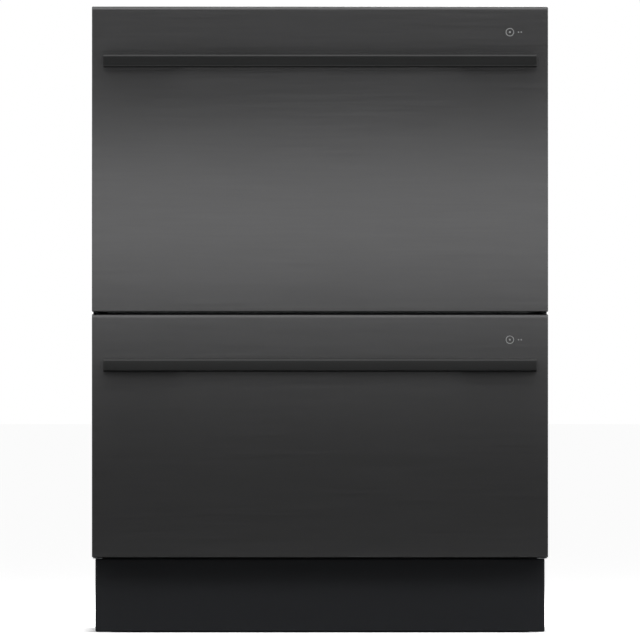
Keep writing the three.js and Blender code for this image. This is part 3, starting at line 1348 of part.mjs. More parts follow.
const dishwasher = new THREE.Group();
dishwasher.add(
  cabinet(),
  drawerStation('upper', UPPER_DRAWER_BOTTOM, UPPER_RIM),
  drawerStation('lower', LOWER_DRAWER_BOTTOM, LOWER_RIM),
  drawer('upper', UPPER_DRAWER_BOTTOM, UPPER_RIM, UPPER_FRONT_BOTTOM, UNIT_HEIGHT, UPPER_HANDLE_DROP),
  drawer('lower', LOWER_DRAWER_BOTTOM, LOWER_RIM, LOWER_FRONT_BOTTOM, LOWER_FRONT_TOP, LOWER_HANDLE_DROP),
);

export default dishwasher;
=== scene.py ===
import math

import bmesh
import bpy
from mathutils import Matrix, Vector


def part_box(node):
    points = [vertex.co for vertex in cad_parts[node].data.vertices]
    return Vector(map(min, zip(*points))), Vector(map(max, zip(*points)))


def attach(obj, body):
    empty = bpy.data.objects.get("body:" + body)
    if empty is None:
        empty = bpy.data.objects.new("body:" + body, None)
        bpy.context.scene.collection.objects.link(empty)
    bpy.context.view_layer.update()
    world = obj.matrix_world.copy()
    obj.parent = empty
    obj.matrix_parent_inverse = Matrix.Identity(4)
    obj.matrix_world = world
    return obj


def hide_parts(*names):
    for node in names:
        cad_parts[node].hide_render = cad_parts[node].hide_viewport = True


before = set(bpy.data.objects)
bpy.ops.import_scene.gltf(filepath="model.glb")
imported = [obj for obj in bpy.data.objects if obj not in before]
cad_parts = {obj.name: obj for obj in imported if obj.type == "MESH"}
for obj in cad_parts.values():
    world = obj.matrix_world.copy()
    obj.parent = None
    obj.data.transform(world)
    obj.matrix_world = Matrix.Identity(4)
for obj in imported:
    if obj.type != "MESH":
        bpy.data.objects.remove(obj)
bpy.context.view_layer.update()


# The studio. The camera stands far back at half the machine's height, square to the fronts, with a long
# lens. Soft boxes stand in front, above, beside and behind, and the reflection of a low wall of strips
# gives the fronts their bright band. The surround looks white and lights the machine only dimly.
CAMERA_DISTANCE = 30.0
CAMERA_HEIGHT = 0.4098
CAMERA_REACH = 200.0
SENSOR = 36.0
VIEW_WIDTH = 0.8375         # how wide a piece of the fronts' plane the picture shows
BAND_DISTANCE = 0.62
BAND_WIDTH = 3.6
BAND = (                    # lower edge, upper edge, and watts for each metre of height
    (0.27, 0.36, 2.9),
    (0.36, 0.42, 5.8),
    (0.42, 0.48, 13.0),
    (0.48, 0.60, 20.5),
    (0.60, 0.66, 15.5),
    (0.66, 0.72, 2.0),
)
WHITE = (1.0, 1.0, 1.0, 1.0)
LIGHT_FROM_ABOVE = 0.16
LIGHT_FROM_BELOW = 0.04
HORIZON_SOFTNESS = 0.06

face_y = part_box("upper_front_panel")[0].y

camera_data = bpy.data.cameras.new("camera")
camera_data.sensor_width = SENSOR
camera_data.lens = SENSOR * CAMERA_DISTANCE / VIEW_WIDTH
camera_data.clip_end = CAMERA_REACH
camera = bpy.data.objects.new("camera", camera_data)
camera.location = (0.0, face_y - CAMERA_DISTANCE, CAMERA_HEIGHT)
camera.rotation_euler = (math.pi / 2, 0.0, 0.0)
bpy.context.scene.collection.objects.link(camera)
bpy.context.scene.camera = camera
bpy.context.scene.view_settings.view_transform = "Standard"


def soft_box(name, place, aim, size, power):
    """A rectangular lamp, out of the camera's sight. Size is its width and height."""
    light = bpy.data.lights.new(name, "AREA")
    light.shape = "RECTANGLE"
    light.size, light.size_y = size
    light.energy = power
    lamp = bpy.data.objects.new(name, light)
    lamp.location = place
    lamp.rotation_euler = (Vector(aim) - Vector(place)).to_track_quat("-Z", "Y").to_euler()
    lamp.visible_camera = False
    bpy.context.scene.collection.objects.link(lamp)


soft_box("front_box", place=(0.0, -1.9, 1.35), aim=(0.0, face_y, 0.62), size=(3.0, 0.9), power=10.5)
soft_box("high_box", place=(0.0, -1.3, 2.3), aim=(0.0, face_y, 0.6), size=(3.0, 1.0), power=23.0)
soft_box("kick_box", place=(0.0, -0.55, 0.014), aim=(0.0, -0.21, 0.05), size=(3.0, 0.02), power=0.9)
for strip_low, strip_high, watts_per_metre in BAND:
    strip_middle = (strip_low + strip_high) / 2
    soft_box(
        f"band_{strip_low}",
        place=(0.0, face_y - BAND_DISTANCE, strip_middle),
        aim=(0.0, face_y, strip_middle),
        size=(BAND_WIDTH, strip_high - strip_low),
        power=watts_per_metre * (strip_high - strip_low),
    )
soft_box("right_box", place=(2.6, -1.1, 0.75), aim=(0.0, face_y, 0.5), size=(0.8, 1.6), power=16.0)
soft_box("top_box", place=(0.0, -0.2, 2.9), aim=(0.0, 0.0, 0.8), size=(2.4, 1.4), power=22.0)
for way in (-1, 1):
    soft_box(
        f"side_box_{way}",
        place=(way * 2.8, 0.7, 1.4),
        aim=(way * 0.3, 0.1, 0.5),
        size=(1.8, 1.4),
        power=38.0,
    )
soft_box("back_box", place=(1.2, 3.0, 2.4), aim=(0.0, 0.3, 0.4), size=(2.6, 1.8), power=110.0)


class Signal:
    """One output of a shader node. Arithmetic on it adds Math nodes."""

    def __init__(self, shading, socket):
        self.shading = shading
        self.socket = socket

    def __add__(self, other):
        return self.shading.math("ADD", self, other)

    def __sub__(self, other):
        return self.shading.math("SUBTRACT", self, other)

    def __rsub__(self, other):
        return self.shading.math("SUBTRACT", other, self)

    def __mul__(self, other):
        return self.shading.math("MULTIPLY", self, other)

    __radd__ = __add__
    __rmul__ = __mul__


class Shading:
    """The shader nodes of a material or of the surround."""

    def __init__(self, tree):
        self.tree = tree

    def node(self, kind, settings, inputs, output=0):
        """A new node with its settings and its sockets' values or signals, as the signal it puts out."""
        made = self.tree.nodes.new(kind)
        for key, value in settings.items():
            setattr(made, key, value)
        for socket, value in inputs.items():
            if isinstance(value, Signal):
                self.tree.links.new(value.socket, made.inputs[socket])
            else:
                made.inputs[socket].default_value = value
        return Signal(self, made.outputs[output])

    def math(self, operation, *values):
        return self.node("ShaderNodeMath", {"operation": operation}, dict(enumerate(values)))

    def axis(self, vector, letter):
        return self.node("ShaderNodeSeparateXYZ", {}, {"Vector": vector}, letter)

    def ramp(self, signal, low, high, bottom=0.0, top=1.0):
        """Bottom where the signal is under low, top where it is over high, and straight between."""
        inputs = {"Value": signal, "From Min": low, "From Max": high, "To Min": bottom, "To Max": top}
        return self.node("ShaderNodeMapRange", {"clamp": True}, inputs, "Result")


world = bpy.data.worlds.new("surround")
bpy.context.scene.world = world
world.use_nodes = True
world.node_tree.nodes.remove(world.node_tree.nodes["Background"])
surround = Shading(world.node_tree)
heading = surround.node("ShaderNodeTexCoord", {}, {}, "Generated")
dim = surround.ramp(
    surround.axis(heading, "Z"), -HORIZON_SOFTNESS, HORIZON_SOFTNESS, LIGHT_FROM_BELOW, LIGHT_FROM_ABOVE,
)
choice = surround.node("ShaderNodeMixShader", {}, {
    "Fac": surround.node("ShaderNodeLightPath", {}, {}, "Is Camera Ray"),
    1: surround.node("ShaderNodeBackground", {}, {"Color": WHITE, "Strength": dim}),
    2: surround.node("ShaderNodeBackground", {}, {"Color": WHITE}),
})
surround.tree.links.new(choice.socket, surround.tree.nodes["World Output"].inputs["Surface"])


# The floor. A wide matte sheet that glows a little, so that it stays white to the horizon. Its glow fades
# out under the machine, where a real floor lies in shade.
FLOOR_HALF = 60.0
FLOOR_GLOW = 0.82
FLOOR_SHADE = 0.03


class Finish(Shading):
    """A surface finish: a Principled shader and the nodes that feed it."""

    def __init__(self, name, **constants):
        self.material = bpy.data.materials.new(name)
        self.material.use_nodes = True
        super().__init__(self.material.node_tree)
        self.shader = self.tree.nodes["Principled BSDF"]
        for socket, value in constants.items():
            self.shader.inputs[socket.replace("_", " ")].default_value = value

    def feed(self, **signals):
        for socket, signal in signals.items():
            self.tree.links.new(signal.socket, self.shader.inputs[socket.replace("_", " ")])
        return self

    def tint(self, share, first, second):
        """A colour between two others, each given as three numbers or as a signal."""
        first, second = (
            colour if isinstance(colour, Signal) else (*colour, 1.0) for colour in (first, second)
        )
        return self.node("ShaderNodeMix", {"data_type": "RGBA"}, {0: share, 6: first, 7: second}, 2)


floor_mesh = bmesh.new()
bmesh.ops.create_grid(floor_mesh, x_segments=1, y_segments=1, size=FLOOR_HALF)
floor_data = bpy.data.meshes.new("floor")
floor_mesh.to_mesh(floor_data)
floor_mesh.free()
floor = bpy.data.objects.new("floor", floor_data)
bpy.context.scene.collection.objects.link(floor)
floor.visible_glossy = False
floor.visible_diffuse = False

base_low, base_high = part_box("base_tray")
base_middle = (base_low + base_high) / 2
base_half = (base_high - base_low) / 2
pale_floor = Finish(
    "pale_floor", Base_Color=(0.9, 0.9, 0.9, 1.0), Roughness=0.9, Specular_IOR_Level=0.0,
    Emission_Strength=FLOOR_GLOW,
)
underfoot = pale_floor.node("ShaderNodeTexCoord", {}, {}, "Object")
across = pale_floor.math("ABSOLUTE", pale_floor.axis(underfoot, "X"))
along = pale_floor.math("ABSOLUTE", pale_floor.axis(underfoot, "Y") - base_middle.y)
clear_of_machine = pale_floor.math(
    "MAXIMUM",
    pale_floor.ramp(across, base_half.x, base_half.x + FLOOR_SHADE),
    pale_floor.ramp(along, base_half.y, base_half.y + FLOOR_SHADE),
)
pale_floor.feed(Emission_Color=pale_floor.tint(clear_of_machine, (0.0, 0.0, 0.0), (1.0, 1.0, 1.0)))
floor_data.materials.append(pale_floor.material)


# The fronts. Each drawer has a skin of brushed stainless steel, tinted dark, one millimetre thick. It is
# folded round the door carrier: the top edge is rolled, the sides and the bottom are folded sharper, and
# the fold along the top stops short so that the control strip shows behind it.
DRAWERS = ("upper", "lower")
SHEET = 0.001
ROLL = 0.0045
ROLL_STEPS = 8
FOLD = 0.0014
FOLD_STEPS = 4
FOLD_ANGLE = 30.0           # in degrees, as all these angles are
CREASE = 40.0               # where faces meet at more than this, the line between them stays hard
TOP_RETURN = 0.006
FACING = 0.9                # the least share of a normal along an axis for a face that looks that way
MERGE = 1e-6                # points nearer to one another than this are one point
STEEL_DARK = (0.062, 0.062, 0.063)
STEEL_LIGHT = (0.084, 0.084, 0.085)


class Surface(Finish):
    """The finish of a piece, with the patterns that its grain and wear are made of."""

    def place(self, stretch=(1.0, 1.0, 1.0)):
        """The point on the piece, in metres, stretched along each axis."""
        coordinates = self.node("ShaderNodeTexCoord", {}, {}, "Object")
        return self.node("ShaderNodeMapping", {}, {"Vector": coordinates, "Scale": stretch})

    def noise(self, where, scale=1.0, detail=3.0, roughness=0.5):
        inputs = {"Vector": where, "Scale": scale, "Detail": detail, "Roughness": roughness}
        return self.node("ShaderNodeTexNoise", {}, inputs, "Fac")

    def edges(self):
        """1 on the outer edges of the mesh, and 0 on its flat faces."""
        hardly_pointed, well_pointed = 0.52, 0.6
        pointed = self.node("ShaderNodeNewGeometry", {}, {}, "Pointiness")
        return self.ramp(pointed, hardly_pointed, well_pointed)

    def bump(self, height, depth, strength=1.0):
        inputs = {"Height": height, "Distance": depth, "Strength": strength}
        return self.feed(Normal=self.node("ShaderNodeBump", {}, inputs))


front_steel = Surface("dark_brushed_steel", Metallic=0.72)
coarse_grain = front_steel.noise(front_steel.place((9.0, 9.0, 620.0)), detail=2.0, roughness=0.6)
fine_grain = front_steel.noise(front_steel.place((22.0, 22.0, 2600.0)), detail=2.0, roughness=0.7)
streaks = coarse_grain * 0.6 + fine_grain * 0.4
cloudy = front_steel.noise(front_steel.place(), scale=5.0, detail=2.0)
front_steel.feed(
    Base_Color=front_steel.tint(front_steel.ramp(streaks, 0.3, 0.7), STEEL_DARK, STEEL_LIGHT),
    Roughness=0.205 + streaks * 0.07 + cloudy * 0.02,
)
front_steel.bump(streaks, depth=0.00004, strength=0.35)


def piece(name, shape, finish, body, slot, *nodes):
    """Turns a bmesh into a finished piece that rides on a body and stands for CAD nodes."""
    data = bpy.data.meshes.new(name)
    shape.to_mesh(data)
    shape.free()
    made = bpy.data.objects.new(name, data)
    bpy.context.scene.collection.objects.link(made)
    data.materials.append(finish.material)
    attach(made, body)
    if nodes:
        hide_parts(*nodes)
    return made


def smooth(shape, angle):
    """Smooth shading, with a hard line only where faces meet at more than the angle, in degrees."""
    for face in shape.faces:
        face.smooth = True
    for edge in shape.edges:
        edge.smooth = len(edge.link_faces) == 2 and edge.calc_face_angle() < math.radians(angle)


def wide_faces(made):
    """Wide faces keep their own normals, so that only the rounded edges between them shade."""
    made.modifiers.new("wide_faces", "WEIGHTED_NORMAL").keep_sharp = True


def sharp_edges(shape, angle):
    """The edges where two faces meet at more than the angle, in degrees."""
    return [
        edge for edge in shape.edges
        if len(edge.link_faces) == 2 and edge.calc_face_angle() > math.radians(angle)
    ]


def rounded(shape, edges, radius, segments):
    bmesh.ops.bevel(
        shape, geom=edges, offset=radius, offset_type="OFFSET", segments=segments, profile=0.5,
        affect="EDGES", material=-1, clamp_overlap=True,
    )


def folded_front(node):
    """An open pan of one surface: a block without its back, its edges rounded and its top cut short."""
    low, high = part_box(node)
    shape = bmesh.new()
    bmesh.ops.create_cube(shape, size=1.0)
    bmesh.ops.scale(shape, vec=high - low, verts=shape.verts)
    bmesh.ops.translate(shape, vec=(low + high) / 2, verts=shape.verts)
    back = [face for face in shape.faces if face.normal.y > FACING]
    bmesh.ops.delete(shape, geom=back, context="FACES_ONLY")
    front_top = [
        edge for edge in shape.edges
        if all(high.z - vert.co.z < SHEET / 2 and vert.co.y - low.y < SHEET / 2 for vert in edge.verts)
    ]
    rounded(shape, front_top, ROLL, ROLL_STEPS)
    rounded(shape, sharp_edges(shape, FOLD_ANGLE), FOLD, FOLD_STEPS)
    everything = [*shape.verts, *shape.edges, *shape.faces]
    cut = Vector((0.0, low.y + TOP_RETURN, 0.0))
    bmesh.ops.bisect_plane(shape, geom=everything, dist=MERGE, plane_co=cut, plane_no=(0.0, 1.0, 0.0))
    flap = [
        face for face in shape.faces
        if face.normal.z > FACING and face.calc_center_median().y > cut.y
    ]
    bmesh.ops.delete(shape, geom=flap, context="FACES")
    smooth(shape, CREASE)
    return shape


for drawer in DRAWERS:
    skin = piece(
        f"{drawer}_front_skin", folded_front(f"{drawer}_front_panel"), front_steel,
        f"{drawer}_drawer", "dark_steel", f"{drawer}_front_panel",
    )
    sheet = skin.modifiers.new("sheet", "SOLIDIFY")
    sheet.thickness = SHEET
    sheet.offset = -1.0
    sheet.use_even_offset = True
    wide_faces(skin)


# The status marks. Near the top right corner of each front are a small ring with a dot in it and two
# smaller dots to its right, printed in grey.
MARK_X = 0.2485
MARK_DROP = 0.0335
MARK_PROUD = 0.0001
RING_RADIUS = 0.0055
RING_LINE = 0.0010
DOT_RADIUS = 0.0013
SMALL_DOTS_X = (0.2598, 0.2634)
SMALL_DOT_RADIUS = 0.0010
SPOT_SIDES = 24

mark_print = Surface("pale_print", Roughness=0.45)
speckle = mark_print.noise(mark_print.place(), scale=900.0, detail=2.0)
mark_print.feed(Base_Color=mark_print.tint(speckle, (0.20, 0.205, 0.205), (0.28, 0.285, 0.285)))
mark_print.bump(speckle, depth=0.00002)


def printed_spot(shape, x, z, radius, line=0.0):
    """A flat spot or, with the width of a line, a flat ring on the face of a front."""
    before = set(shape.verts)
    circle = bmesh.ops.create_circle(shape, cap_ends=True, radius=radius, segments=SPOT_SIDES)["verts"]
    if line:
        cap = list({face for vert in circle for face in vert.link_faces})
        bmesh.ops.inset_region(shape, faces=cap, thickness=line, use_even_offset=True, use_boundary=True)
        bmesh.ops.delete(shape, geom=cap, context="FACES")
    spot = [vert for vert in shape.verts if vert not in before]
    bmesh.ops.transform(shape, matrix=Matrix.Rotation(math.pi / 2, 4, "X"), verts=spot)
    bmesh.ops.translate(shape, vec=(x, face_y - MARK_PROUD, z), verts=spot)


def new_verts(extruded):
    """The vertices that an extrusion made."""
    return [item for item in extruded["geom"] if isinstance(item, bmesh.types.BMVert)]


for drawer in DRAWERS:
    mark_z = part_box(f"{drawer}_front_panel")[1].z - MARK_DROP
    marks = bmesh.new()
    printed_spot(marks, MARK_X, mark_z, RING_RADIUS, RING_LINE)
    printed_spot(marks, MARK_X, mark_z, DOT_RADIUS)
    for dot_x in SMALL_DOTS_X:
        printed_spot(marks, dot_x, mark_z, SMALL_DOT_RADIUS)
    backs = new_verts(bmesh.ops.extrude_face_region(marks, geom=marks.faces[:]))
    bmesh.ops.translate(marks, vec=(0.0, MARK_PROUD, 0.0), verts=backs)
    bmesh.ops.recalc_face_normals(marks, faces=marks.faces[:])
    piece(f"{drawer}_status_marks", marks, mark_print, f"{drawer}_drawer", "button")


# The door carriers and buttons. A black moulding fills each steel skin and holds the tub. Two sprung
# buttons of grey plastic sit in wells in its top edge, behind the skin's short fold.
EDGE_ANGLE = 40.0
EDGE_SEGMENTS = 2
BUTTON_SEGMENTS = 3
FLAT_ANGLE = 1.0
MOULDED_CREASE = 35.0
WORN_LIGHTER = 1.35
WORN_LIFT = 0.01
WORN_SHARE = 0.35


def dressed(node, finish, body, slot, edge, segments=EDGE_SEGMENTS):
    """A copy of a CAD piece with its corners merged and its sharp edges rounded, in its place."""
    shape = bmesh.new()
    shape.from_mesh(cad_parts[node].data)
    bmesh.ops.remove_doubles(shape, verts=shape.verts, dist=MERGE)
    bmesh.ops.dissolve_limit(
        shape, angle_limit=math.radians(FLAT_ANGLE), use_dissolve_boundaries=False,
        verts=shape.verts, edges=shape.edges,
    )
    rounded(shape, sharp_edges(shape, EDGE_ANGLE), edge, segments)
    bmesh.ops.triangulate(shape, faces=[face for face in shape.faces if len(face.verts) > 4])
    smooth(shape, MOULDED_CREASE)
    wide_faces(piece(f"{node}_made", shape, finish, body, slot, node))


def moulded(name, dark, light, roughness, grain_scale=700.0, grain_depth=0.00003):
    """A moulded plastic: a fine eroded grain, faint flow marks, and edges rubbed a little lighter."""
    finish = Surface(name)
    where = finish.place()
    grain = finish.noise(where, grain_scale, roughness=0.6)
    flow = finish.noise(where, scale=9.0, detail=4.0, roughness=0.55)
    worn = tuple(WORN_LIGHTER * channel + WORN_LIFT for channel in light)
    finish.feed(
        Base_Color=finish.tint(finish.edges() * WORN_SHARE, finish.tint(flow, dark, light), worn),
        Roughness=roughness - 0.05 + flow * 0.07 + grain * 0.05,
    )
    return finish.bump(grain, grain_depth, strength=0.6)


carrier_plastic = moulded(
    "black_moulding", dark=(0.010, 0.0105, 0.011), light=(0.015, 0.0155, 0.016), roughness=0.5,
)
button_plastic = moulded(
    "button_grey", dark=(0.13, 0.135, 0.14), light=(0.15, 0.155, 0.16), roughness=0.35,
    grain_scale=1200.0, grain_depth=0.00001,
)
for drawer in DRAWERS:
    dressed(
        f"{drawer}_door_carrier", carrier_plastic, f"{drawer}_drawer", "carrier_plastic", edge=0.0004,
    )
    for button in (f"{drawer}_power_button", f"{drawer}_start_button"):
        dressed(button, button_plastic, button, "button", edge=0.0003, segments=BUTTON_SEGMENTS)


# The handles. Each is a bar on two long end brackets, cast in one piece, ground along its length and
# coated darker than the fronts. It is screwed on from inside the door.
handle_metal = Surface("dark_handle_metal", Metallic=0.9, Coat_Weight=0.45, Coat_Roughness=0.15)
ground = handle_metal.noise(handle_metal.place((11.0, 420.0, 900.0)), roughness=0.6)
handle_body = handle_metal.tint(
    handle_metal.ramp(ground, 0.3, 0.7), (0.0065, 0.007, 0.007), (0.0100, 0.0105, 0.0105),
)
handle_metal.feed(
    Base_Color=handle_metal.tint(handle_metal.edges() * 0.3, handle_body, (0.07, 0.07, 0.07)),
    Roughness=0.36 + ground * 0.1,
)
handle_metal.bump(ground, depth=0.00002, strength=0.4)
for drawer in DRAWERS:
    dressed(f"{drawer}_handle", handle_metal, f"{drawer}_drawer", "dark_handle", edge=0.0004)


# The kick plate. A shallow pan of black coated steel between the floor and the lower front, set back
# from it and clipped to the front feet.
kick_coat = Surface("black_coated_sheet", Specular_IOR_Level=0.26)
kick_grain = kick_coat.noise(kick_coat.place(), scale=1500.0, detail=2.0)
kick_flow = kick_coat.noise(kick_coat.place(), scale=6.0)
kick_coat.feed(
    Base_Color=kick_coat.tint(kick_flow, (0.0080, 0.0090, 0.0114), (0.0094, 0.0105, 0.0130)),
    Roughness=0.47 + kick_grain * 0.08,
)
kick_coat.bump(kick_grain, depth=0.00003, strength=0.5)
dressed("toe_kick", kick_coat, "cabinet", "black_sheet", edge=0.0003)


# The cabinet. Sides, top, back and middle brace are folded from zinc-coated sheet, so their faces show
# the coating's faint crystals. The side panels' flanges lap over the back panel.
zinc_sheet = Surface("zinc_coated_sheet", Metallic=0.9)
crystals = zinc_sheet.node(
    "ShaderNodeTexVoronoi", {}, {"Vector": zinc_sheet.place(), "Scale": 160.0}, "Color",
)
crystal_tone = zinc_sheet.node("ShaderNodeSeparateColor", {}, {"Color": crystals}, "Red")
handling = zinc_sheet.noise(zinc_sheet.place(), scale=7.0, detail=4.0, roughness=0.6)
zinc_sheet.feed(
    Base_Color=zinc_sheet.tint(
        crystal_tone * 0.75 + handling * 0.25, (0.30, 0.31, 0.32), (0.40, 0.41, 0.415),
    ),
    Roughness=0.34 + crystal_tone * 0.1 + handling * 0.08,
)
zinc_sheet.bump(crystal_tone * 0.3 + handling * 0.7, depth=0.00004, strength=0.4)
for node in ("left_side_panel", "right_side_panel", "top_panel", "back_panel", "middle_brace"):
    dressed(node, zinc_sheet, "cabinet", "galvanised_sheet", edge=0.0003)


# The cabinet's screws. A row of zinc-plated pan-head screws down each side of the back holds the flanges.
# Each head tapers to its top, which has a round recess.
SCREW_RADIUS = 0.0042
SCREW_TOP_RADIUS = 0.002604
SCREW_HEIGHT = 0.0022
SCREW_SIDES = 12
SCREW_RIM = 0.00126
SCREW_RECESS = 0.0011
SCREWS_A_SIDE = 7
SCREW_MARGIN = 0.04
SCREW_INSET = 0.007
FLANGE = 0.0013             # how far the side panels' flanges stand out behind the back panel

screw_zinc = Surface("bright_zinc", Metallic=1.0)
screw_tone = screw_zinc.noise(screw_zinc.place(), scale=400.0, detail=2.0)
screw_zinc.feed(
    Base_Color=screw_zinc.tint(screw_tone, (0.5, 0.5, 0.47), (0.62, 0.61, 0.58)),
    Roughness=0.26 + screw_tone * 0.12,
)


def back_screw(shape, place):
    """One screw head on a face that looks along Y."""
    before = set(shape.verts)
    bmesh.ops.create_cone(
        shape, cap_ends=True, segments=SCREW_SIDES, radius1=SCREW_RADIUS, radius2=SCREW_TOP_RADIUS,
        depth=SCREW_HEIGHT,
    )
    made = [vert for vert in shape.verts if vert not in before]
    top = list({
        face for vert in made for face in vert.link_faces
        if face.normal.z > FACING and face.calc_center_median().z > 0
    })
    bmesh.ops.inset_region(shape, faces=top, thickness=SCREW_RIM)
    recess = list({vert for face in top for vert in face.verts})
    bmesh.ops.translate(shape, vec=(0.0, 0.0, -SCREW_RECESS), verts=recess)
    made = [vert for vert in shape.verts if vert not in before]
    bmesh.ops.translate(shape, vec=(0.0, 0.0, SCREW_HEIGHT / 2), verts=made)
    turn = Vector((0.0, 1.0, 0.0)).to_track_quat("Z", "Y").to_matrix().to_4x4()
    bmesh.ops.transform(shape, matrix=Matrix.Translation(place) @ turn, verts=made)


screws = bmesh.new()
back_low, back_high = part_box("back_panel")
screw_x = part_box("right_side_panel")[1].x - SCREW_INSET
screw_pitch = (back_high.z - back_low.z - 2 * SCREW_MARGIN) / (SCREWS_A_SIDE - 1)
for way in (-1, 1):
    for i in range(SCREWS_A_SIDE):
        screw_z = back_low.z + SCREW_MARGIN + i * screw_pitch
        back_screw(screws, (way * screw_x, back_high.y + FLANGE, screw_z))
piece("cabinet_screws", screws, screw_zinc, "cabinet", "slide_steel")


# The gland. A grommet of black rubber that fills the back panel's window. It has holes for the fill and
# drain hoses and for the cable.
rubber = moulded(
    "black_rubber", dark=(0.018, 0.018, 0.018), light=(0.028, 0.028, 0.029), roughness=0.75,
    grain_scale=900.0, grain_depth=0.00005,
)
dressed("supply_gland", rubber, "cabinet", "rubber", edge=0.0006)


# The base and the feet. The base is a black plastic tray that catches leaks. Four feet of the same
# plastic screw into its corners.
dressed("base_tray", carrier_plastic, "cabinet", "carrier_plastic", edge=0.0005)
for foot in ("front_left_foot", "front_right_foot", "back_left_foot", "back_right_foot"):
    dressed(foot, carrier_plastic, foot, "carrier_plastic", edge=0.0005)


# The slides. Three zinc-plated rolled channels a side run inside one another on rows of steel balls. The
# outer one is screwed to the cabinet and the inner one carries the tub.
slide_plate = Surface("zinc_plated_steel", Metallic=1.0)
drawn = slide_plate.noise(slide_plate.place((300.0, 6.0, 300.0)), roughness=0.6)
slide_plate.feed(
    Base_Color=slide_plate.tint(drawn, (0.5, 0.51, 0.52), (0.66, 0.67, 0.68)),
    Roughness=0.2 + drawn * 0.16,
)
slide_plate.bump(drawn, depth=0.00002, strength=0.4)
for drawer in DRAWERS:
    for side in ("left", "right"):
        for member, body in (
            ("fixed_rail", "cabinet"),
            ("middle_rail", f"{drawer}_middle_slides"),
            ("inner_rail", f"{drawer}_drawer"),
        ):
            dressed(f"{drawer}_{side}_{member}", slide_plate, body, "slide_steel", edge=0.0002)


# The tubs. Each is one light grey moulding with round corners, a rim for the lid's seal and a pocket for
# the drain filter.
tub_plastic = moulded(
    "pale_tub", dark=(0.50, 0.52, 0.53), light=(0.58, 0.60, 0.61), roughness=0.42,
    grain_scale=500.0, grain_depth=0.00002,
)
for drawer in DRAWERS:
    dressed(f"{drawer}_tub", tub_plastic, f"{drawer}_drawer", "tub_plastic", edge=0.0006)


# The lids and seals. A double-walled moulding comes down on each tub while it washes. A lipped rubber
# ring is clipped in under its edge.
lid_plastic = moulded(
    "grey_lid", dark=(0.17, 0.18, 0.185), light=(0.21, 0.22, 0.225), roughness=0.46,
    grain_scale=500.0,
)
for drawer in DRAWERS:
    dressed(f"{drawer}_lid", lid_plastic, f"{drawer}_lid_unit", "lid_plastic", edge=0.0008)
    dressed(f"{drawer}_lid_seal", rubber, f"{drawer}_lid_unit", "rubber", edge=0.0002)


# The wash parts. Motor and drain pump hang under the tub in one dark housing. The filter plate, the
# drain filter with its grip and the spray arm are matte grey mouldings.
motor_plastic = moulded(
    "motor_housing", dark=(0.028, 0.030, 0.033), light=(0.040, 0.043, 0.047), roughness=0.55,
)
wash_plastic = moulded(
    "wash_grey", dark=(0.20, 0.22, 0.235), light=(0.26, 0.285, 0.30), roughness=0.48,
    grain_scale=800.0,
)
for drawer in DRAWERS:
    dressed(f"{drawer}_wash_motor", motor_plastic, f"{drawer}_drawer", "motor_plastic", edge=0.0006)
    dressed(f"{drawer}_filter_plate", wash_plastic, f"{drawer}_drawer", "wash_plastic", edge=0.0003)
    dressed(
        f"{drawer}_drain_filter", wash_plastic, f"{drawer}_drain_filter", "wash_plastic", edge=0.0005,
    )
    dressed(f"{drawer}_spray_arm", wash_plastic, f"{drawer}_spray_arm", "wash_plastic", edge=0.0006)


# The wire baskets. Steel wires are welded where they cross and coated with grey nylon. Cross and long
# wires hang from a thick rim, one cross wire carries a fixed row of tines, and four legs stand on the
# filter plate.
WIRE = 0.004
WIRE_BEND = 0.014
WIRE_ROUNDNESS = 3
WIRE_CREASE = 50.0
BEND_STEPS = 5
RIM_WIRE = 0.006
RIM_CORNER = 0.03
RIM_STEPS = 6
CROSS_WIRES = 8
LONG_WIRES = 7
CROSS_LEVEL = 0.003         # the cross wires above the long ones
BASKET_HEIGHT = 0.105       # from the long wires to the rim
CLIP_RISE = 0.0103          # from the rim to the top of the clips on it
LEG = 0.008
TINE = 0.0035
TINE_TOP = 0.075            # from the long wires to the tips
TINE_PITCH = 0.028
TINE_COUNT = 11
FIXED_ROW = 5               # the cross wire that carries the fixed tines

nylon = moulded(
    "grey_nylon", dark=(0.32, 0.345, 0.36), light=(0.40, 0.43, 0.445), roughness=0.38,
    grain_scale=600.0, grain_depth=0.00004,
)


def coated_wires(name, routes, body, node):
    """Round wires along routes. Each route is a list of points, a diameter and whether it is closed."""
    data = bpy.data.curves.new(name, "CURVE")
    data.dimensions = "3D"
    data.bevel_depth = WIRE / 2
    data.bevel_resolution = WIRE_ROUNDNESS
    data.use_fill_caps = True
    for points, diameter, closed in routes:
        spline = data.splines.new("POLY")
        spline.points.add(len(points) - 1)
        for spline_point, point in zip(spline.points, points):
            spline_point.co = (*point, 1.0)
            spline_point.radius = diameter / WIRE
        spline.use_cyclic_u = closed
        spline.use_smooth = True
    curve = bpy.data.objects.new(name, data)
    bpy.context.scene.collection.objects.link(curve)
    bpy.context.view_layer.update()
    evaluated = curve.evaluated_get(bpy.context.evaluated_depsgraph_get())
    mesh = bpy.data.meshes.new_from_object(evaluated)
    bpy.data.objects.remove(curve)
    shape = bmesh.new()
    shape.from_mesh(mesh)
    bpy.data.meshes.remove(mesh)
    bmesh.ops.recalc_face_normals(shape, faces=shape.faces[:])
    smooth(shape, WIRE_CREASE)
    piece(name, shape, nylon, body, "coated_wire", node)


def bent(points):
    """A route through points whose inner corners are rounded."""
    corners = [Vector(point) for point in points]
    route = [corners[0]]
    for before, corner, after in zip(corners, corners[1:], corners[2:]):
        start = corner + (before - corner).normalized() * WIRE_BEND
        end = corner + (after - corner).normalized() * WIRE_BEND
        for step in range(BEND_STEPS + 1):
            t = step / BEND_STEPS
            route.append(start * (1 - t) ** 2 + corner * 2 * t * (1 - t) + end * t ** 2)
    route.append(corners[-1])
    return route


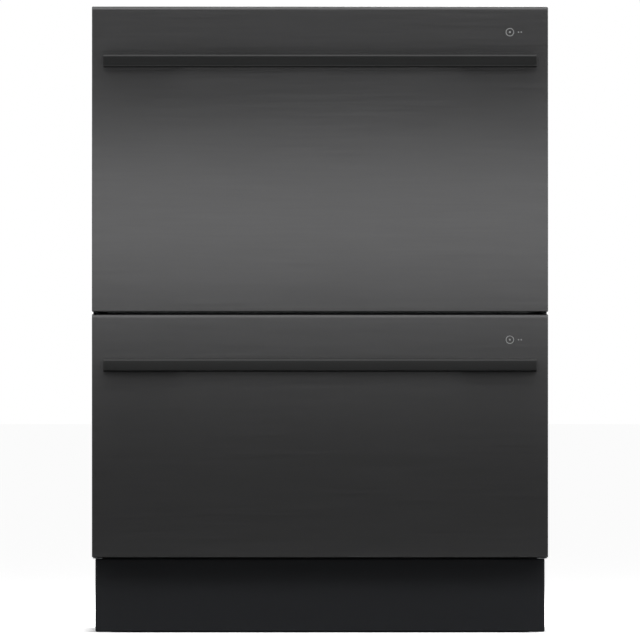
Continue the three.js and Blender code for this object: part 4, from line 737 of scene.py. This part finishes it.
def rim_route(middle_y, half_x, half_y, z):
    """A closed route round a rectangle with round corners."""
    route = []
    for quarter, (way_x, way_y) in enumerate(((1, 1), (-1, 1), (-1, -1), (1, -1))):
        for step in range(RIM_STEPS + 1):
            angle = (quarter + step / RIM_STEPS) * math.pi / 2
            route.append((
                way_x * (half_x - RIM_CORNER) + RIM_CORNER * math.cos(angle),
                middle_y + way_y * (half_y - RIM_CORNER) + RIM_CORNER * math.sin(angle),
                z,
            ))
    return route


def spread(half, count, i):
    """The place of wire i out of a count of them, spread evenly between the rim's round corners."""
    return (RIM_CORNER - half) + i * 2 * (half - RIM_CORNER) / (count - 1)


def tine_x(i):
    return (i - (TINE_COUNT - 1) / 2) * TINE_PITCH


def rim_level(drawer):
    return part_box(f"{drawer}_basket")[1].z - CLIP_RISE


for drawer in DRAWERS:
    low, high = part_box(f"{drawer}_basket")
    half_x = high.x - RIM_WIRE / 2
    half_y = (high.y - low.y) / 2 - RIM_WIRE / 2
    middle_y = (low.y + high.y) / 2
    rim_z = rim_level(drawer)
    long_z = rim_z - BASKET_HEIGHT
    cross_z = long_z + CROSS_LEVEL
    cross_places = [middle_y + spread(half_y, CROSS_WIRES, i) for i in range(CROSS_WIRES)]
    long_places = [spread(half_x, LONG_WIRES, i) for i in range(LONG_WIRES)]
    near, far = middle_y - half_y, middle_y + half_y
    routes = [(rim_route(middle_y, half_x, half_y, rim_z), RIM_WIRE, True)]
    for y in cross_places:
        corners = [(-half_x, y, rim_z), (-half_x, y, cross_z), (half_x, y, cross_z), (half_x, y, rim_z)]
        routes.append((bent(corners), WIRE, False))
    for x in long_places:
        corners = [(x, near, rim_z), (x, near, long_z), (x, far, long_z), (x, far, rim_z)]
        routes.append((bent(corners), WIRE, False))
    for i in range(TINE_COUNT):
        x, y = tine_x(i), cross_places[FIXED_ROW]
        routes.append(([(x, y, cross_z), (x, y, long_z + TINE_TOP)], TINE, False))
    for x in (long_places[0], long_places[-1]):
        for y in (cross_places[0], cross_places[-1]):
            routes.append(([(x, y, low.z), (x, y, cross_z)], LEG, False))
    coated_wires(f"{drawer}_wire_basket", routes, f"{drawer}_drawer", f"{drawer}_basket")


# The folding tines. A second row of coated tines is welded to a wire of its own, which turns in two clips
# on the basket so that the row lies down for large pots.
def tine_axis(drawer):
    low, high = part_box(f"{drawer}_folding_tines")
    return Vector((0.0, (low.y + high.y) / 2, low.z + WIRE / 2))


for drawer in DRAWERS:
    low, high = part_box(f"{drawer}_folding_tines")
    axis = tine_axis(drawer)
    routes = [([(low.x, axis.y, axis.z), (high.x, axis.y, axis.z)], WIRE, False)]
    for i in range(TINE_COUNT):
        routes.append(([(tine_x(i), axis.y, axis.z), (tine_x(i), axis.y, high.z)], TINE, False))
    coated_wires(f"{drawer}_tine_row", routes, f"{drawer}_folding_tines", f"{drawer}_folding_tines")


# The cup racks. A shelf of coated wires for cups folds up about its outer wire, which turns in two clips
# on the basket's rim.
CLIP_WIDTH = 0.006
RACK_CROSS_WIRES = 5


def rack_axis(drawer):
    """The middle of the wire that the rack turns on, and half that wire's length."""
    low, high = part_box(f"{drawer}_cup_rack")
    middle = Vector((high.x - WIRE / 2, (low.y + high.y) / 2, (low.z + high.z) / 2))
    return middle, (high.y - low.y) / 2


for drawer in DRAWERS:
    axis, half = rack_axis(drawer)
    end_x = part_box(f"{drawer}_cup_rack")[0].x + WIRE / 2
    inner_half = half - 2 * CLIP_WIDTH - WIRE / 2
    near, far = axis.y - inner_half, axis.y + inner_half
    corners = [(axis.x, near, axis.z), (end_x, near, axis.z), (end_x, far, axis.z), (axis.x, far, axis.z)]
    routes = [
        ([(axis.x, axis.y - half, axis.z), (axis.x, axis.y + half, axis.z)], WIRE, False),
        (bent(corners), WIRE, False),
    ]
    for i in range(1, RACK_CROSS_WIRES + 1):
        y = near + i * 2 * inner_half / (RACK_CROSS_WIRES + 1)
        routes.append(([(axis.x, y, axis.z), (end_x, y, axis.z)], WIRE, False))
    coated_wires(f"{drawer}_rack_wires", routes, f"{drawer}_cup_rack", f"{drawer}_cup_rack")


# The pivot clips. Small nylon clips hold the wires that the tines and the racks turn on. Two stand on a
# cross wire and two on the rim of each basket.
CLIP_SIZE = 0.01
CLIP_PLAY = 0.0005
CLIP_SIDES = 16
CLIP_EDGE = 0.0003
CLIP_EDGE_ANGLE = 60.0
CLIP_PLACE = 1.5            # counted in tines from each end of the row


def pivot_clip(shape, pivot, foot_z, along_y):
    """A clip with a round top and a flat foot, and a bore along Y or along X."""
    before = set(shape.verts)
    outer = bmesh.ops.create_circle(shape, radius=CLIP_SIZE / 2, segments=CLIP_SIDES)["verts"]
    bore = bmesh.ops.create_circle(shape, radius=WIRE / 2 + CLIP_PLAY, segments=CLIP_SIDES)["verts"]
    for vert in outer:
        if vert.co.y < -MERGE:
            vert.co.x *= CLIP_SIZE / 2 / max(abs(vert.co.x), abs(vert.co.y))
            vert.co.y = foot_z - pivot.z
    loops = list({edge for vert in [*outer, *bore] for edge in vert.link_edges})
    ring = bmesh.ops.bridge_loops(shape, edges=loops)["faces"]
    other_side = new_verts(bmesh.ops.extrude_face_region(shape, geom=ring))
    bmesh.ops.translate(shape, vec=(0.0, 0.0, CLIP_WIDTH), verts=other_side)
    made = [vert for vert in shape.verts if vert not in before]
    bmesh.ops.translate(shape, vec=(0.0, 0.0, -CLIP_WIDTH / 2), verts=made)
    upright = Matrix.Rotation(math.pi / 2, 4, "X")
    turn = Matrix.Rotation(0.0 if along_y else math.pi / 2, 4, "Z")
    bmesh.ops.transform(shape, matrix=Matrix.Translation(pivot) @ turn @ upright, verts=made)


for drawer in DRAWERS:
    clips = bmesh.new()
    rim_z = rim_level(drawer)
    for i in (CLIP_PLACE, TINE_COUNT - 1 - CLIP_PLACE):
        pivot = tine_axis(drawer) + Vector((tine_x(i), 0.0, 0.0))
        pivot_clip(clips, pivot, rim_z - BASKET_HEIGHT + CROSS_LEVEL, along_y=False)
    axis, half = rack_axis(drawer)
    for way in (-1, 1):
        pivot = axis + Vector((0.0, way * (half - CLIP_WIDTH), 0.0))
        pivot_clip(clips, pivot, rim_z, along_y=True)
    rounded(clips, sharp_edges(clips, CLIP_EDGE_ANGLE), CLIP_EDGE, EDGE_SEGMENTS)
    bmesh.ops.recalc_face_normals(clips, faces=clips.faces[:])
    smooth(clips, CREASE)
    piece(f"{drawer}_pivot_clips", clips, nylon, f"{drawer}_drawer", "coated_wire")


# The cutlery baskets, dispensers and their doors. All are grey mouldings: the cutlery basket stands in
# the wire one, and the dispenser is screwed to the front wall of the tub and closed by a sprung door.
for drawer in DRAWERS:
    dressed(f"{drawer}_cutlery_basket", wash_plastic, f"{drawer}_drawer", "wash_plastic", edge=0.0003)
    dressed(
        f"{drawer}_detergent_dispenser", wash_plastic, f"{drawer}_drawer", "wash_plastic", edge=0.0005,
    )
    dressed(
        f"{drawer}_detergent_door", lid_plastic, f"{drawer}_detergent_door", "lid_plastic", edge=0.0004,
    )
